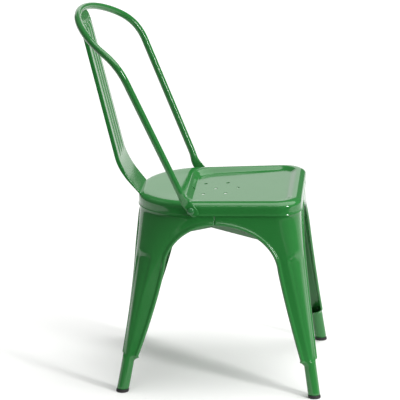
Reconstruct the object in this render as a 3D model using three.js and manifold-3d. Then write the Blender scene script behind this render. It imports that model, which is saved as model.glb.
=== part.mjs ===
// A stacking chair of pressed and tubular steel: seat pan, four leg pressings with rolled feet, bent-tube back
// hoop, ribbed back splat, cross brace, bolts and rubber glides.
// Millimetres, +Z up, the front of the chair faces -Y, +X is the sitter's left. Z = 0 is the floor.
import * as THREE from "three";
import { mergeVertices } from "three/addons/utils/BufferGeometryUtils.js";
import Module from "manifold-3d";

const wasm = await Module();
wasm.setup();

// Overall layout
const SHEET = 1.5; // steel sheet of the seat and legs
const CLEAR = 0.4; // gap between neighbouring pieces
const LAP_GAP = 0.9; // gap between the skirt and the leg tops it covers
const TAPER = 0.3e-3; // the plan narrows towards the rear by this part of its width per millimetre
const ARCH_Y = -44; // where the front and rear leg pressings meet at the side
const SHIFT_Y = 3.15; // moves the finished chair so that its box is centred on the origin

// Seat pan
const SEAT = { half: 165, front: -238.5, rear: 137.5, frontRadius: 56, rearRadius: 133 };
const RIM_Z = 437.4; // height of the rim at y = 0
const RIM_SLOPE = 0.035; // the seat rises towards the front
const EDGE = { wide: 19, high: 12, angles: [0, 30, 60, 90] }; // the rim rolls over in a quarter ellipse
const SKIRT = 30; // depth of the skirt below the rim
const DISH = { half: 145.5, front: -219, rear: 26, frontRadius: 46, rearRadius: 56, wall: 17 };
const DISH_DEPTH = { front: 6, rear: 13 };
const DISH_FLOOR = { inset: 48, middleY: -100 }; // the last ring of the floor and the point where it closes
const DRAIN = { radius: 4.5, pitch: 51, rowPitch: 44, y: -36, rows: [[1, 2], [0, 3], [-1, 2]] };

// Legs: half extents of the corner at the top and at the foot
const FOOT_RADIUS = 13.9;
const FOOT_Z = 8; // lower end of the rolled foot
const LAP_Z = 402; // the leg faces are upright above this height, where the skirt covers them
const LAP_X = SEAT.half - SHEET - LAP_GAP; // where the legs' side faces lie there
const APRON = { top: 29, leg: 18 }; // width of the strip along the edge, over the arch and down the leg
const APEX_Z = 383.5;
const CURL_TOP = 86; // the section starts to roll up here
const CURL_BOTTOM = 69; // and is a round foot from here down
const SEAM = 1.4; // gap left along the rolled foot
const BEAD = { height: 3.4, width: 10 };
const FLUTE = { top: 318, bottom: 79, depth: 2.6, topHalf: 29, bottomHalf: 12, side: 8, end: 14 };
const LEGS = {
  front: {
    side: 1, footX: 223.5, topY: 236.1, splayY: 53, bowX: 1.2, bowY: 1.2,
    cornerTop: 53.6, cornerPower: 1.5, springZ: 285, springH: 60, endSpringH: 58, lowH: 34,
  },
  rear: {
    side: -1, footX: 212, topY: 135.1, splayY: 41, bowX: 1.2, bowY: 1.9,
    cornerTop: 130.6, cornerPower: 2.6, springZ: 290, springH: 72, endSpringH: 72, lowH: 36.5,
  },
};

// Back hoop: points on the tube's centre line, for the sitter's left side
const TUBE_RADIUS = 8;
const TAB = { x: 168.8, thick: 5.6, wide: 21.5, tipY: -5, tipZ: 409.5, topY: 15.6, topZ: 434, reach: 18 };
const FLATTEN = { start: 31, end: 65 }; // from the tip: flat up to the first, round from the second
const HOOP_SIDES = 10;
const HOOP_ROWS = {
  tip: [0, 1.5, 4.5, 10.5], tab: [22, 33, 42, 51, 60, 70], rise: [0.33, 0.67], bend: 8, crown: 11,
};
const HOOP = {
  lower: [180.1, 33.5, 470],
  shoulder: [228.9, 163.9, 765.4],
  bend: 46,
  arch: [-0.4336, 0.757, 0.4876],
  archReach: 45,
  crown: [0, 275.1, 837],
  crownReach: 109.3,
};

// Back splat
const SPLAT = { half: 63, thick: 1.4, bend: 1.4, flange: 9, footFlange: 4 };
const RIBS = {
  places: [-31, 0, 31], width: 11, height: 2.4, start: 0.2, end: 0.95, fadeIn: 0.05, fadeOut: 0.04,
};
const SPLAT_PATH = {
  foot: [132.9, 431.3], footControl: [172.1, 480.2], lower: [180.7, 515],
  upper: [252, 800], topControl: [259, 821], top: [268.4, 830.7],
};
const SPLAT_ROWS = [0, 0.04, 0.08, 0.12, 0.16, 0.2, 0.25, 0.5, 0.75, 0.91, 0.95, 0.975, 1];
// Where the splat's corners lie from the middle of its ends, and the shares of its length that they bend over.
const SPLAT_SAG = { foot: [-2, 0], footShare: 0.12, top: [-4.7, -3.1], topShare: 0.09 };

// Cross brace, bolts, glides
const BRACE = { z: 334, height: 22, thick: 3, front: [158, -221], rear: [112, 112], padWide: 34, padThick: 2 };
const CAP = { long: 26, wide: 9, high: 11, wall: 3, reach: 45 };
const BOLT = { y: 8.5, z: 420.2, shank: 3, head: 8.6, headHigh: 4.6, tail: 2, chamfer: 0.5 };
const NUT = { flat: 5, thick: 4 };
const WASHER = { radius: 6.7, thick: 1 };
const GLIDE = { base: 14.4, stem: 11.6, stemTop: 34, waist: 7.6 };

const STEEL = new THREE.MeshStandardMaterial({ color: 0x3c8a4b, roughness: 0.28, metalness: 0.1 });
const FASTENER = new THREE.MeshStandardMaterial({ color: 0x35793f, roughness: 0.32, metalness: 0.2 });
const ZINC = new THREE.MeshStandardMaterial({ color: 0xb9bcc0, roughness: 0.35, metalness: 0.9 });
const RUBBER = new THREE.MeshStandardMaterial({ color: 0x17181a, roughness: 0.75, metalness: 0 });
const PLASTIC = new THREE.MeshStandardMaterial({ color: 0x1c1d1f, roughness: 0.5, metalness: 0 });

const chair = new THREE.Group();
chair.position.y = SHIFT_Y;

const lerp = THREE.MathUtils.lerp;
const clamp = THREE.MathUtils.clamp;
const smooth = (t) => THREE.MathUtils.smoothstep(t, 0, 1);
const vec = (x, y, z) => new THREE.Vector3(x, y, z);

function addPiece(name, geometry, material) {
  const mesh = new THREE.Mesh(geometry, material);
  mesh.name = name;
  chair.add(mesh);
  return mesh;
}

// ---- solids ----

function geometryOf(points, triangles) {
  const geometry = new THREE.BufferGeometry();
  const numbers = points.flatMap((p) => [p.x, p.y, p.z]);
  geometry.setAttribute("position", new THREE.Float32BufferAttribute(numbers, 3));
  geometry.setIndex(triangles);
  return geometry;
}

function toSolid(geometry) {
  const bare = geometry.clone();
  bare.deleteAttribute("normal");
  bare.deleteAttribute("uv");
  const merged = mergeVertices(bare, 1e-4);
  const mesh = new wasm.Mesh({
    numProp: 3,
    vertProperties: new Float32Array(merged.attributes.position.array),
    triVerts: new Uint32Array(merged.index.array),
  });
  return new wasm.Manifold(mesh);
}

function fromSolid(solid) {
  const mesh = solid.getMesh();
  const geometry = new THREE.BufferGeometry();
  geometry.setAttribute("position", new THREE.BufferAttribute(new Float32Array(mesh.vertProperties), 3));
  geometry.setIndex(new THREE.BufferAttribute(new Uint32Array(mesh.triVerts), 1));
  return geometry;
}

function cylinderAlong(axis, radius, length, centre, sides = 20) {
  const cylinder = new THREE.CylinderGeometry(radius, radius, length, sides);
  cylinder.applyQuaternion(new THREE.Quaternion().setFromUnitVectors(vec(0, 1, 0), axis));
  return cylinder.translate(centre.x, centre.y, centre.z);
}

// Unit normals of a grid of points, from its neighbours; around joins the last column to the first.
function gridNormals(grid, around) {
  const rows = grid.length;
  const cols = grid[0].length;
  const at = (r, c) => grid[clamp(r, 0, rows - 1)][around ? (c + cols) % cols : clamp(c, 0, cols - 1)];
  return grid.map((row, r) =>
    row.map((_, c) => {
      const across = at(r, c + 1).clone().sub(at(r, c - 1));
      const along = at(r + 1, c).clone().sub(at(r - 1, c));
      return across.cross(along).normalize();
    }),
  );
}

// A closed sheet of the given thickness: the grid is its outer face, whose normal is across x along.
// With a centre, the grid's rows are rings and the last one closes at the centre.
function sheetSolid(grid, thickness, centre) {
  const rows = grid.length;
  const cols = grid[0].length;
  const around = Boolean(centre);
  const normals = gridNormals(grid, around);
  const outer = grid.flat();
  const behind = (p, r, c) => p.clone().addScaledVector(normals[r][c], -thickness);
  const inner = grid.flatMap((row, r) => row.map((p, c) => behind(p, r, c)));
  const triangles = [];
  const quad = (a, b, c, d) => triangles.push(a, b, c, a, c, d);
  const id = (r, c) => r * cols + (c % cols);
  const back = rows * cols;
  const lastCol = around ? cols : cols - 1;
  for (let r = 0; r < rows - 1; r++) {
    for (let c = 0; c < lastCol; c++) {
      quad(id(r, c), id(r, c + 1), id(r + 1, c + 1), id(r + 1, c));
      quad(back + id(r, c), back + id(r + 1, c), back + id(r + 1, c + 1), back + id(r, c + 1));
    }
  }
  for (let c = 0; c < lastCol; c++) quad(id(0, c + 1), id(0, c), back + id(0, c), back + id(0, c + 1));
  if (around) {
    const top = 2 * back;
    for (let c = 0; c < cols; c++) {
      triangles.push(id(rows - 1, c), id(rows - 1, c + 1), top);
      triangles.push(back + id(rows - 1, c + 1), back + id(rows - 1, c), top + 1);
    }
    const below = centre.clone().setZ(centre.z - thickness);
    return geometryOf([...outer, ...inner, centre, below], triangles);
  }
  for (let c = 0; c < lastCol; c++) {
    quad(id(rows - 1, c), id(rows - 1, c + 1), back + id(rows - 1, c + 1), back + id(rows - 1, c));
  }
  for (let r = 0; r < rows - 1; r++) {
    quad(id(r, 0), id(r + 1, 0), back + id(r + 1, 0), back + id(r, 0));
    quad(id(r + 1, cols - 1), id(r, cols - 1), back + id(r, cols - 1), back + id(r + 1, cols - 1));
  }
  return geometryOf([...outer, ...inner], triangles);
}

function mirrored(grid) {
  return grid.map((row) => row.map((p) => vec(-p.x, p.y, p.z)).reverse());
}

// ---- seat pan ----

const taperAt = (y) => 1 - TAPER * y;

// Closed outline of a rectangle with rounded corners, counter-clockwise from above, narrowed towards the rear.
function seatOutline({ half, front, rear, frontRadius, rearRadius }, inset) {
  const corners = [
    { x: half, y: rear, radius: rearRadius, turn: 0, sx: 1, sy: 1 },
    { x: -half, y: rear, radius: rearRadius, turn: 1, sx: -1, sy: 1 },
    { x: -half, y: front, radius: frontRadius, turn: 2, sx: -1, sy: -1 },
    { x: half, y: front, radius: frontRadius, turn: 3, sx: 1, sy: -1 },
  ];
  const steps = 9;
  const straight = 1;
  const outline = [];
  for (const corner of corners) {
    const radius = Math.max(corner.radius - inset, 2);
    const cx = corner.x - corner.sx * (inset + radius);
    const cy = corner.y - corner.sy * (inset + radius);
    for (let i = 0; i <= steps; i++) {
      const angle = ((corner.turn + i / steps) * Math.PI) / 2;
      outline.push(vec(cx + radius * Math.cos(angle), cy + radius * Math.sin(angle), 0));
    }
  }
  const full = [];
  outline.forEach((p, i) => {
    full.push(p);
    if (i % (steps + 1) !== steps) return;
    const next = outline[(i + 1) % outline.length];
    for (let k = 1; k <= straight; k++) full.push(p.clone().lerp(next, k / (straight + 1)));
  });
  full.forEach((p) => (p.x *= taperAt(p.y)));
  return full;
}

const dishDepthAt = (y) => lerp(DISH_DEPTH.front, DISH_DEPTH.rear, (y - DISH.front) / (DISH.rear - DISH.front));

// Rings of the seat's outer face, from the skirt's lower edge over the rim and down into the dish.
function seatRings() {
  const rings = [];
  const ring = (shape, inset, drop, sunk = 0) =>
    rings.push(seatOutline(shape, inset).map((p) =>
      vec(p.x, p.y, RIM_Z - RIM_SLOPE * p.y - drop - sunk * dishDepthAt(p.y))));
  ring(SEAT, 0, SKIRT);
  for (const angle of EDGE.angles) {
    const a = THREE.MathUtils.degToRad(angle);
    ring(SEAT, EDGE.wide * (1 - Math.cos(a)), EDGE.high * (1 - Math.sin(a)));
  }
  for (const share of [0, 0.2, 0.8, 1]) ring(DISH, DISH.wall * share, 0, smooth(share));
  ring(DISH, DISH_FLOOR.inset, 0, 1);
  return rings;
}

function seatPan() {
  const middleDrop = RIM_SLOPE * DISH_FLOOR.middleY + dishDepthAt(DISH_FLOOR.middleY);
  const middle = vec(0, DISH_FLOOR.middleY, RIM_Z - middleDrop);
  let solid = toSolid(sheetSolid(seatRings(), SHEET, middle));
  const drill = (axis, radius, place, sides) => {
    solid = solid.subtract(toSolid(cylinderAlong(axis, radius, 30, place, sides)));
  };
  for (const [row, count] of DRAIN.rows) {
    for (let i = 0; i < count; i++) {
      const y = DRAIN.y + (i - (count - 1) / 2) * DRAIN.pitch;
      drill(vec(0, 0, 1), DRAIN.radius, vec(row * DRAIN.rowPitch, y, RIM_Z - DISH_DEPTH.rear), 12);
    }
  }
  for (const side of [-1, 1]) {
    drill(vec(1, 0, 0), BOLT.shank + CLEAR, vec(side * SEAT.half, BOLT.y, BOLT.z), 20);
  }
  return fromSolid(solid);
}

// ---- legs ----

// How far a leg's face has splayed at height z, from 0 under the skirt to 1 at the floor.
const splayAt = (z, bow) => Math.pow(clamp((LAP_Z - z) / LAP_Z, 0, 1), bow);

// The planes of a leg's two outer faces at height z, as distances from the chair's middle.
function legPlanes(leg, z) {
  return {
    x: LAP_X + (leg.footX - LAP_X) * splayAt(z, leg.bowX),
    y: leg.topY + leg.splayY * splayAt(z, leg.bowY),
  };
}

// A leg's point at distances x and y from the chair's middle and height z. The plan's taper and the seat's slope
// fade out down the leg, so that the foot stays round and level.
function legPoint(leg, x, y, z) {
  const fade = smooth((z - CURL_TOP) / (LAP_Z - CURL_TOP));
  const depth = -leg.side * y;
  return vec(x * (1 - TAPER * depth * fade), depth, z - RIM_SLOPE * depth * fade);
}

// Edge of one flange: distance h from the corner and height z, with the direction from the edge into the sheet.
function flangeEdge(leg, springH, middle, s) {
  if (s <= 1) {
    const angle = (s * Math.PI) / 2;
    const a = middle - springH;
    const b = APEX_Z - leg.springZ;
    const into = new THREE.Vector2(-Math.sin(angle) / a, Math.cos(angle) / b).normalize();
    return { h: middle - a * Math.sin(angle), z: leg.springZ + b * Math.cos(angle), into };
  }
  const z = lerp(leg.springZ, FOOT_Z, s - 1);
  const t = clamp((leg.springZ - z) / (leg.springZ - CURL_TOP), 0, 1);
  return { h: lerp(springH, leg.lowH, Math.pow(t, 1.15)), z, into: new THREE.Vector2(-1, 0) };
}

// Rounded bump along a flange's edge, d from the edge.
function beadAt(d, z) {
  const across = clamp(d / BEAD.width, 0, 1);
  const fade = smooth((z - CURL_BOTTOM) / (CURL_TOP - CURL_BOTTOM));
  return BEAD.height * Math.sin(Math.PI * across) * fade;
}

// How deep the flute is at a distance round the face from the corner's middle.
function fluteAt(distance, z) {
  const half = lerp(FLUTE.bottomHalf, FLUTE.topHalf, (z - FLUTE.bottom) / (FLUTE.top - FLUTE.bottom));
  const ends = clamp(Math.min(FLUTE.top - z, z - FLUTE.bottom) / FLUTE.end, 0, 1);
  const roundEnd = half * Math.sqrt(1 - (1 - ends) * (1 - ends)); // the flute ends in a half round
  return FLUTE.depth * smooth((roundEnd - Math.abs(distance)) / FLUTE.side) * smooth(2 * ends);
}

const BEAD_SHARES = [0, 0.25, 0.5, 0.75, 1];
const FLAT_SHARES = [0.5, 1];
const ARCH_ROWS = 8;
const LEG_ROWS = [1.06, 1.15, 1.32, 1.48, 1.61, 1.68, 1.715, 1.74, 1.765, 1.79, 2];
const CORNER_STEPS = 10;
const FLAT_SHARE = 0.12; // most of the corner's columns that each flat beside it may take

// The band along one flange's edge at row s, as distances from the corner and heights.
function flangeBand(edge, s) {
  const width = lerp(APRON.top, APRON.leg, smooth(s));
  const steps = BEAD_SHARES.map((share) => share * BEAD.width);
  for (const share of FLAT_SHARES) steps.push(lerp(BEAD.width, width, share));
  return steps.map((d) => ({
    h: edge.h + edge.into.x * d,
    z: edge.z + edge.into.y * d,
    out: beadAt(d, edge.z),
  }));
}

function cornerRadius(leg, z) {
  const t = clamp((z - CURL_TOP) / (LAP_Z - CURL_TOP), 0, 1);
  return lerp(FOOT_RADIUS, leg.cornerTop, Math.pow(t, leg.cornerPower));
}

// Where a flange point lies: along from the other face's plane and deep behind its own plane. Near the foot the
// flange of the given length rolls up round the foot's axis.
function rolled(point, corner, roll, length) {
  if (point.h < corner) {
    const short = corner - point.h;
    return { along: point.h, deep: corner - Math.sqrt(corner * corner - short * short) - point.out };
  }
  if (roll <= 0) return { along: point.h, deep: -point.out };
  const full = 0.75 * Math.PI * FOOT_RADIUS - SEAM / 2;
  const curve = roll / FOOT_RADIUS;
  const arc = (point.h - corner) * lerp(1, full / length, roll);
  const deep = (1 - Math.cos(arc * curve)) / curve - point.out;
  return { along: corner + Math.sin(arc * curve) / curve, deep };
}

// Points between the two bands, round the corner: its flats and its arc share the columns.
function cornerPoints(leg, corner, sideEnd, endEnd) {
  const from = Math.asin(clamp((corner - sideEnd.h) / corner, 0, 1));
  const to = Math.acos(clamp((corner - endEnd.h) / corner, 0, 1));
  const flats = [Math.max(sideEnd.h - corner, 0), Math.max(endEnd.h - corner, 0)];
  const arc = (to - from) * corner;
  const total = flats[0] + arc + flats[1];
  const share = flats.map((flat) => Math.min(FLAT_SHARE, flat / total));
  const points = [];
  for (let i = 1; i < CORNER_STEPS; i++) {
    const t = i / CORNER_STEPS;
    const angle = lerp(from, to, clamp((t - share[0]) / (1 - share[0] - share[1]), 0, 1));
    const sideRun = t < share[0] ? flats[0] * (1 - t / share[0]) : 0;
    const endRun = 1 - t < share[1] ? flats[1] * (1 - (1 - t) / share[1]) : 0;
    const z = lerp(sideEnd.z, endEnd.z, t);
    const plane = legPlanes(leg, z);
    const reach = corner - fluteAt((angle - Math.PI / 4) * corner - sideRun + endRun, z);
    const x = plane.x - corner + reach * Math.cos(angle) - endRun;
    const y = plane.y - corner + reach * Math.sin(angle) - sideRun;
    points.push(legPoint(leg, x, y, z));
  }
  return points;
}

// Share of a face's splay that a flange takes back at distance h, so that two legs meet in a straight seam.
const seamPull = (h, middle) => Math.pow(clamp(h / middle, 0, 1), 4);

// One row of a leg's outer face, from the side flange's edge round the corner to the end flange's edge.
function legRow(leg, s) {
  const sideMiddle = leg.topY + leg.side * ARCH_Y - CLEAR / 2;
  const endMiddle = LAP_X - CLEAR / 2;
  const sideEdge = flangeEdge(leg, leg.springH, sideMiddle, s);
  const endEdge = flangeEdge(leg, leg.endSpringH, endMiddle, s);
  const side = flangeBand(sideEdge, s);
  const end = flangeBand(endEdge, s);
  const corner = cornerRadius(leg, side[side.length - 1].z);
  const roll = smooth((CURL_TOP - sideEdge.z) / (CURL_TOP - CURL_BOTTOM));
  const onSide = side.map((point) => {
    const { along, deep } = rolled(point, corner, roll, sideEdge.h - corner);
    const plane = legPlanes(leg, point.z);
    const pull = (plane.y - leg.topY) * seamPull(point.h, sideMiddle);
    return legPoint(leg, plane.x - deep, plane.y - along - pull, point.z);
  });
  const onEnd = end.map((point) => {
    const { along, deep } = rolled(point, corner, roll, endEdge.h - corner);
    const plane = legPlanes(leg, point.z);
    const pull = (plane.x - LAP_X) * seamPull(point.h, endMiddle);
    return legPoint(leg, plane.x - along - pull, plane.y - deep, point.z);
  });
  const middle = cornerPoints(leg, corner, side[side.length - 1], end[end.length - 1]);
  return [...onSide, ...middle, ...onEnd.reverse()];
}

function legGrid(leg) {
  const rows = [];
  for (let i = 0; i < ARCH_ROWS; i++) rows.push(legRow(leg, i / (ARCH_ROWS - 1)));
  for (const s of LEG_ROWS) rows.push(legRow(leg, s));
  return rows;
}

function addLegs() {
  for (const [end, leg] of Object.entries(LEGS)) {
    const grid = legGrid(leg);
    const left = leg.side > 0 ? grid : grid.map((row) => [...row].reverse());
    addPiece(`leg_${end}_left`, sheetSolid(left, SHEET), STEEL);
    addPiece(`leg_${end}_right`, sheetSolid(mirrored(left), SHEET), STEEL);
  }
}

// Centre of a leg's rolled foot at height z, for the sitter's left side.
function footCentre(leg, z) {
  const plane = legPlanes(leg, z);
  return vec(plane.x - FOOT_RADIUS, -leg.side * (plane.y - FOOT_RADIUS), z);
}

function addGlides() {
  const profile = [
    [0, 0], [GLIDE.base - 1.5, 0], [GLIDE.base, 1.5], [GLIDE.base, GLIDE.waist - 1.2],
    [GLIDE.base - 1.2, GLIDE.waist], [GLIDE.stem, GLIDE.waist], [GLIDE.stem, GLIDE.stemTop - 2],
    [GLIDE.stem - 2, GLIDE.stemTop], [0, GLIDE.stemTop],
  ].map(([r, z]) => new THREE.Vector2(r, z));
  for (const [end, leg] of Object.entries(LEGS)) {
    for (const [hand, sx] of [["left", 1], ["right", -1]]) {
      const glide = new THREE.LatheGeometry(profile, 24).rotateX(Math.PI / 2);
      const spots = glide.attributes.position;
      for (let i = 0; i < spots.count; i++) {
        const z = spots.getZ(i);
        const centre = footCentre(leg, z);
        spots.setXY(i, spots.getX(i) + sx * centre.x, spots.getY(i) + centre.y);
      }
      addPiece(`glide_${end}_${hand}`, glide, RUBBER);
    }
  }
}

// ---- back hoop ----

// Centre line of half the hoop, from the flattened tip up to the crown's middle.
function hoopCurve() {
  const lower = vec(...HOOP.lower);
  const shoulder = vec(...HOOP.shoulder);
  const crown = vec(...HOOP.crown);
  const rise = shoulder.clone().sub(lower).normalize();
  const arch = vec(...HOOP.arch).normalize();
  const before = shoulder.clone().addScaledVector(rise, -HOOP.bend);
  const after = shoulder.clone().addScaledVector(arch, HOOP.bend);
  const tip = vec(TAB.x, TAB.tipY, TAB.tipZ);
  const tabTop = vec(TAB.x, TAB.topY, TAB.topZ);
  const tabRise = tabTop.clone().sub(tip).normalize();
  const path = new THREE.CurvePath();
  path.add(new THREE.LineCurve3(tip, tabTop));
  path.add(new THREE.CubicBezierCurve3(
    tabTop, tabTop.clone().addScaledVector(tabRise, TAB.reach), lower.clone().addScaledVector(rise, -TAB.reach),
    lower));
  path.add(new THREE.LineCurve3(lower, before));
  path.add(new THREE.QuadraticBezierCurve3(before, shoulder, after));
  path.add(new THREE.CubicBezierCurve3(
    after, after.clone().addScaledVector(arch, HOOP.archReach), vec(HOOP.crownReach, crown.y, crown.z), crown));
  return path;
}

// One closed section of the hoop: round, or flattened to the tab's width and thickness.
function hoopSection(centre, thinAxis, wideAxis, flat, tipRound) {
  const ring = [];
  for (let i = 0; i < HOOP_SIDES; i++) {
    const angle = (i * 2 * Math.PI) / HOOP_SIDES;
    const c = Math.cos(angle);
    const s = Math.sin(angle);
    const thin = lerp(TUBE_RADIUS * c, Math.sign(c) * Math.sqrt(Math.abs(c)) * (TAB.thick / 2), flat);
    const wide = lerp(TUBE_RADIUS * s, s * (TAB.wide / 2), flat) * tipRound;
    ring.push(centre.clone().addScaledVector(thinAxis, thin).addScaledVector(wideAxis, wide));
  }
  return ring;
}

// Distances along half the hoop where its sections are, from its tip to its crown.
function hoopStations(ends) {
  const [bendStart, bendEnd, total] = [ends[2], ends[3], ends[4]];
  const last = HOOP_ROWS.tab[HOOP_ROWS.tab.length - 1];
  const rise = HOOP_ROWS.rise.map((share) => lerp(last, bendStart, share));
  const between = (from, to, count) => Array.from({ length: count }, (_, i) => lerp(from, to, (i + 1) / count));
  const bend = [bendStart, ...between(bendStart, bendEnd, HOOP_ROWS.bend - 1)];
  return [...HOOP_ROWS.tip, ...HOOP_ROWS.tab, ...rise, ...bend, ...between(bendEnd, total, HOOP_ROWS.crown)];
}

function hoopRings() {
  const path = hoopCurve();
  const ends = path.getCurveLengths();
  const total = ends[ends.length - 1];
  const stations = hoopStations(ends);
  const half = TAB.wide / 2;
  const blunt = 0.6; // keeps the tip's first section open
  let thinAxis = vec(1, 0, 0);
  return stations.map((distance, i) => {
    const u = distance / total;
    const tangent = i === stations.length - 1 ? vec(-1, 0, 0) : path.getTangentAt(u);
    thinAxis = thinAxis.clone().addScaledVector(tangent, -thinAxis.dot(tangent)).normalize();
    const wideAxis = tangent.clone().cross(thinAxis).normalize();
    const flat = 1 - smooth((distance - FLATTEN.start) / (FLATTEN.end - FLATTEN.start));
    const tip = distance >= half ? 1 : Math.sqrt(1 - Math.pow(1 - (distance + blunt) / (half + blunt), 2));
    return hoopSection(path.getPointAt(u), thinAxis, wideAxis, flat, tip);
  });
}

function backHoop() {
  const half = hoopRings();
  const crown = half[half.length - 1];
  crown.forEach((p) => p.setX(0));
  const other = half.slice(0, -1).reverse().map((ring) => ring.map((p) => vec(-p.x, p.y, p.z)));
  const rings = [...half, ...other];
  const points = rings.flat();
  const triangles = [];
  const id = (r, c) => r * HOOP_SIDES + (c % HOOP_SIDES);
  for (let r = 0; r < rings.length - 1; r++) {
    for (let c = 0; c < HOOP_SIDES; c++) {
      triangles.push(id(r, c), id(r, c + 1), id(r + 1, c + 1), id(r, c), id(r + 1, c + 1), id(r + 1, c));
    }
  }
  const last = rings.length - 1;
  for (let c = 1; c < HOOP_SIDES - 1; c++) {
    triangles.push(id(0, 0), id(0, c + 1), id(0, c), id(last, 0), id(last, c), id(last, c + 1));
  }
  let solid = toSolid(geometryOf(points, triangles));
  for (const side of [-1, 1]) {
    const place = vec(side * TAB.x, BOLT.y, BOLT.z);
    solid = solid.subtract(toSolid(cylinderAlong(vec(1, 0, 0), BOLT.shank + CLEAR, 20, place)));
  }
  return fromSolid(solid);
}

// ---- back splat ----

function splatPath() {
  const point = ([y, z]) => new THREE.Vector2(y, z);
  const path = new THREE.CurvePath();
  path.add(new THREE.QuadraticBezierCurve(
    point(SPLAT_PATH.foot), point(SPLAT_PATH.footControl), point(SPLAT_PATH.lower)));
  path.add(new THREE.LineCurve(point(SPLAT_PATH.lower), point(SPLAT_PATH.upper)));
  path.add(new THREE.QuadraticBezierCurve(
    point(SPLAT_PATH.upper), point(SPLAT_PATH.topControl), point(SPLAT_PATH.top)));
  return path;
}

// Forward height of the three pressed ribs at x, fading out at both ends of the splat.
function ribAt(x, u) {
  const ends = smooth((u - RIBS.start) / RIBS.fadeIn) * smooth((RIBS.end - u) / RIBS.fadeOut);
  const near = Math.min(...RIBS.places.map((rib) => Math.abs(x - rib)));
  const across = clamp(near / (RIBS.width / 2), 0, 1);
  return RIBS.height * ends * 0.5 * (1 + Math.cos(Math.PI * across));
}

// Across the splat: x, and how much of the flange's depth the point stands back.
function splatColumns() {
  const edge = SPLAT.half;
  const side = [[edge, 1], [edge, 0.5], [edge, 0.12], [edge - SPLAT.bend, 0]].map(([x, back]) => ({ x, back }));
  const acrossRib = (rib) => [-0.5, 0, 0.5].map((step) => ({ x: rib + step * RIBS.width, back: 0 }));
  const ribs = RIBS.places.flatMap(acrossRib);
  return [...side.map(({ x, back }) => ({ x: -x, back })), ...ribs, ...side.reverse()];
}

// The splat's foot follows the seat's rounded rear edge and its top follows the hoop.
function splatSag(x, u) {
  const square = Math.pow(x / SPLAT.half, 2);
  const foot = square * smooth((SPLAT_SAG.footShare - u) / SPLAT_SAG.footShare);
  const top = square * smooth((u - 1 + SPLAT_SAG.topShare) / SPLAT_SAG.topShare);
  return [0, 1].map((i) => foot * SPLAT_SAG.foot[i] + top * SPLAT_SAG.top[i]);
}

function backSplat() {
  const path = splatPath();
  const columns = splatColumns();
  const grid = SPLAT_ROWS.map((u) => {
    const at = path.getPointAt(u);
    const along = path.getTangentAt(u);
    const flange = lerp(SPLAT.footFlange, SPLAT.flange, smooth(u / RIBS.start));
    return columns.map(({ x, back }) => {
      const forward = ribAt(x, u) - back * flange;
      const [sagY, sagZ] = splatSag(x, u);
      return vec(x, at.x - along.y * forward + sagY, at.y + along.x * forward + sagZ);
    });
  });
  return sheetSolid(grid, SPLAT.thick);
}

// ---- cross brace ----

function braceSolid(side) {
  const start = new THREE.Vector2(side * BRACE.front[0], BRACE.front[1]);
  const finish = new THREE.Vector2(-side * BRACE.rear[0], BRACE.rear[1]);
  const run = finish.clone().sub(start);
  const angle = Math.atan2(run.y, run.x);
  const z = BRACE.z + BRACE.height / 2;
  const bar = new THREE.BoxGeometry(run.length() - 1, BRACE.thick, BRACE.height).rotateZ(angle);
  const middle = start.clone().add(finish).multiplyScalar(0.5);
  let solid = toSolid(bar.translate(middle.x, middle.y, z));
  for (const end of [start, finish]) {
    const pad = new THREE.BoxGeometry(BRACE.padThick, BRACE.padWide, BRACE.height).rotateZ(angle);
    solid = solid.add(toSolid(pad.translate(end.x, end.y, z)));
  }
  const cross = vec(0, start.y + (run.y * -start.x) / run.x, z + (side * BRACE.height) / 4);
  const slot = new THREE.BoxGeometry(BRACE.thick + 2 * CLEAR, 40, BRACE.height / 2 + CLEAR);
  const other = Math.PI - angle;
  slot.rotateZ(other - Math.PI / 2).translate(cross.x, cross.y, cross.z);
  return { solid: solid.subtract(toSolid(slot)), start, finish, angle };
}

function addBraces() {
  for (const [hand, side] of [["left", 1], ["right", -1]]) {
    const { solid, start, finish, angle } = braceSolid(side);
    addPiece(`brace_${hand}`, fromSolid(solid), STEEL);
    const dir = finish.clone().sub(start).normalize();
    addCap(`brace_cap_front_${hand}`, start.clone().addScaledVector(dir, CAP.reach), angle);
    const across = hand === "left" ? "right" : "left";
    addCap(`brace_cap_rear_${across}`, finish.clone().addScaledVector(dir, -CAP.reach), angle);
  }
}

// A plastic cap that clips over the brace's lower edge.
function addCap(name, at, angle) {
  const z = BRACE.z + CAP.high / 2 - CAP.wall;
  const body = new THREE.BoxGeometry(CAP.long, CAP.wide, CAP.high).rotateZ(angle).translate(at.x, at.y, z);
  const slot = new THREE.BoxGeometry(CAP.long + 4, BRACE.thick + 2 * CLEAR, CAP.high).rotateZ(angle);
  slot.translate(at.x, at.y, z + CAP.wall - CLEAR);
  addPiece(name, fromSolid(toSolid(body).subtract(toSolid(slot))), PLASTIC);
}

// ---- bolts ----

const profileOf = (pairs) => pairs.map(([r, z]) => new THREE.Vector2(r, z));

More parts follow.
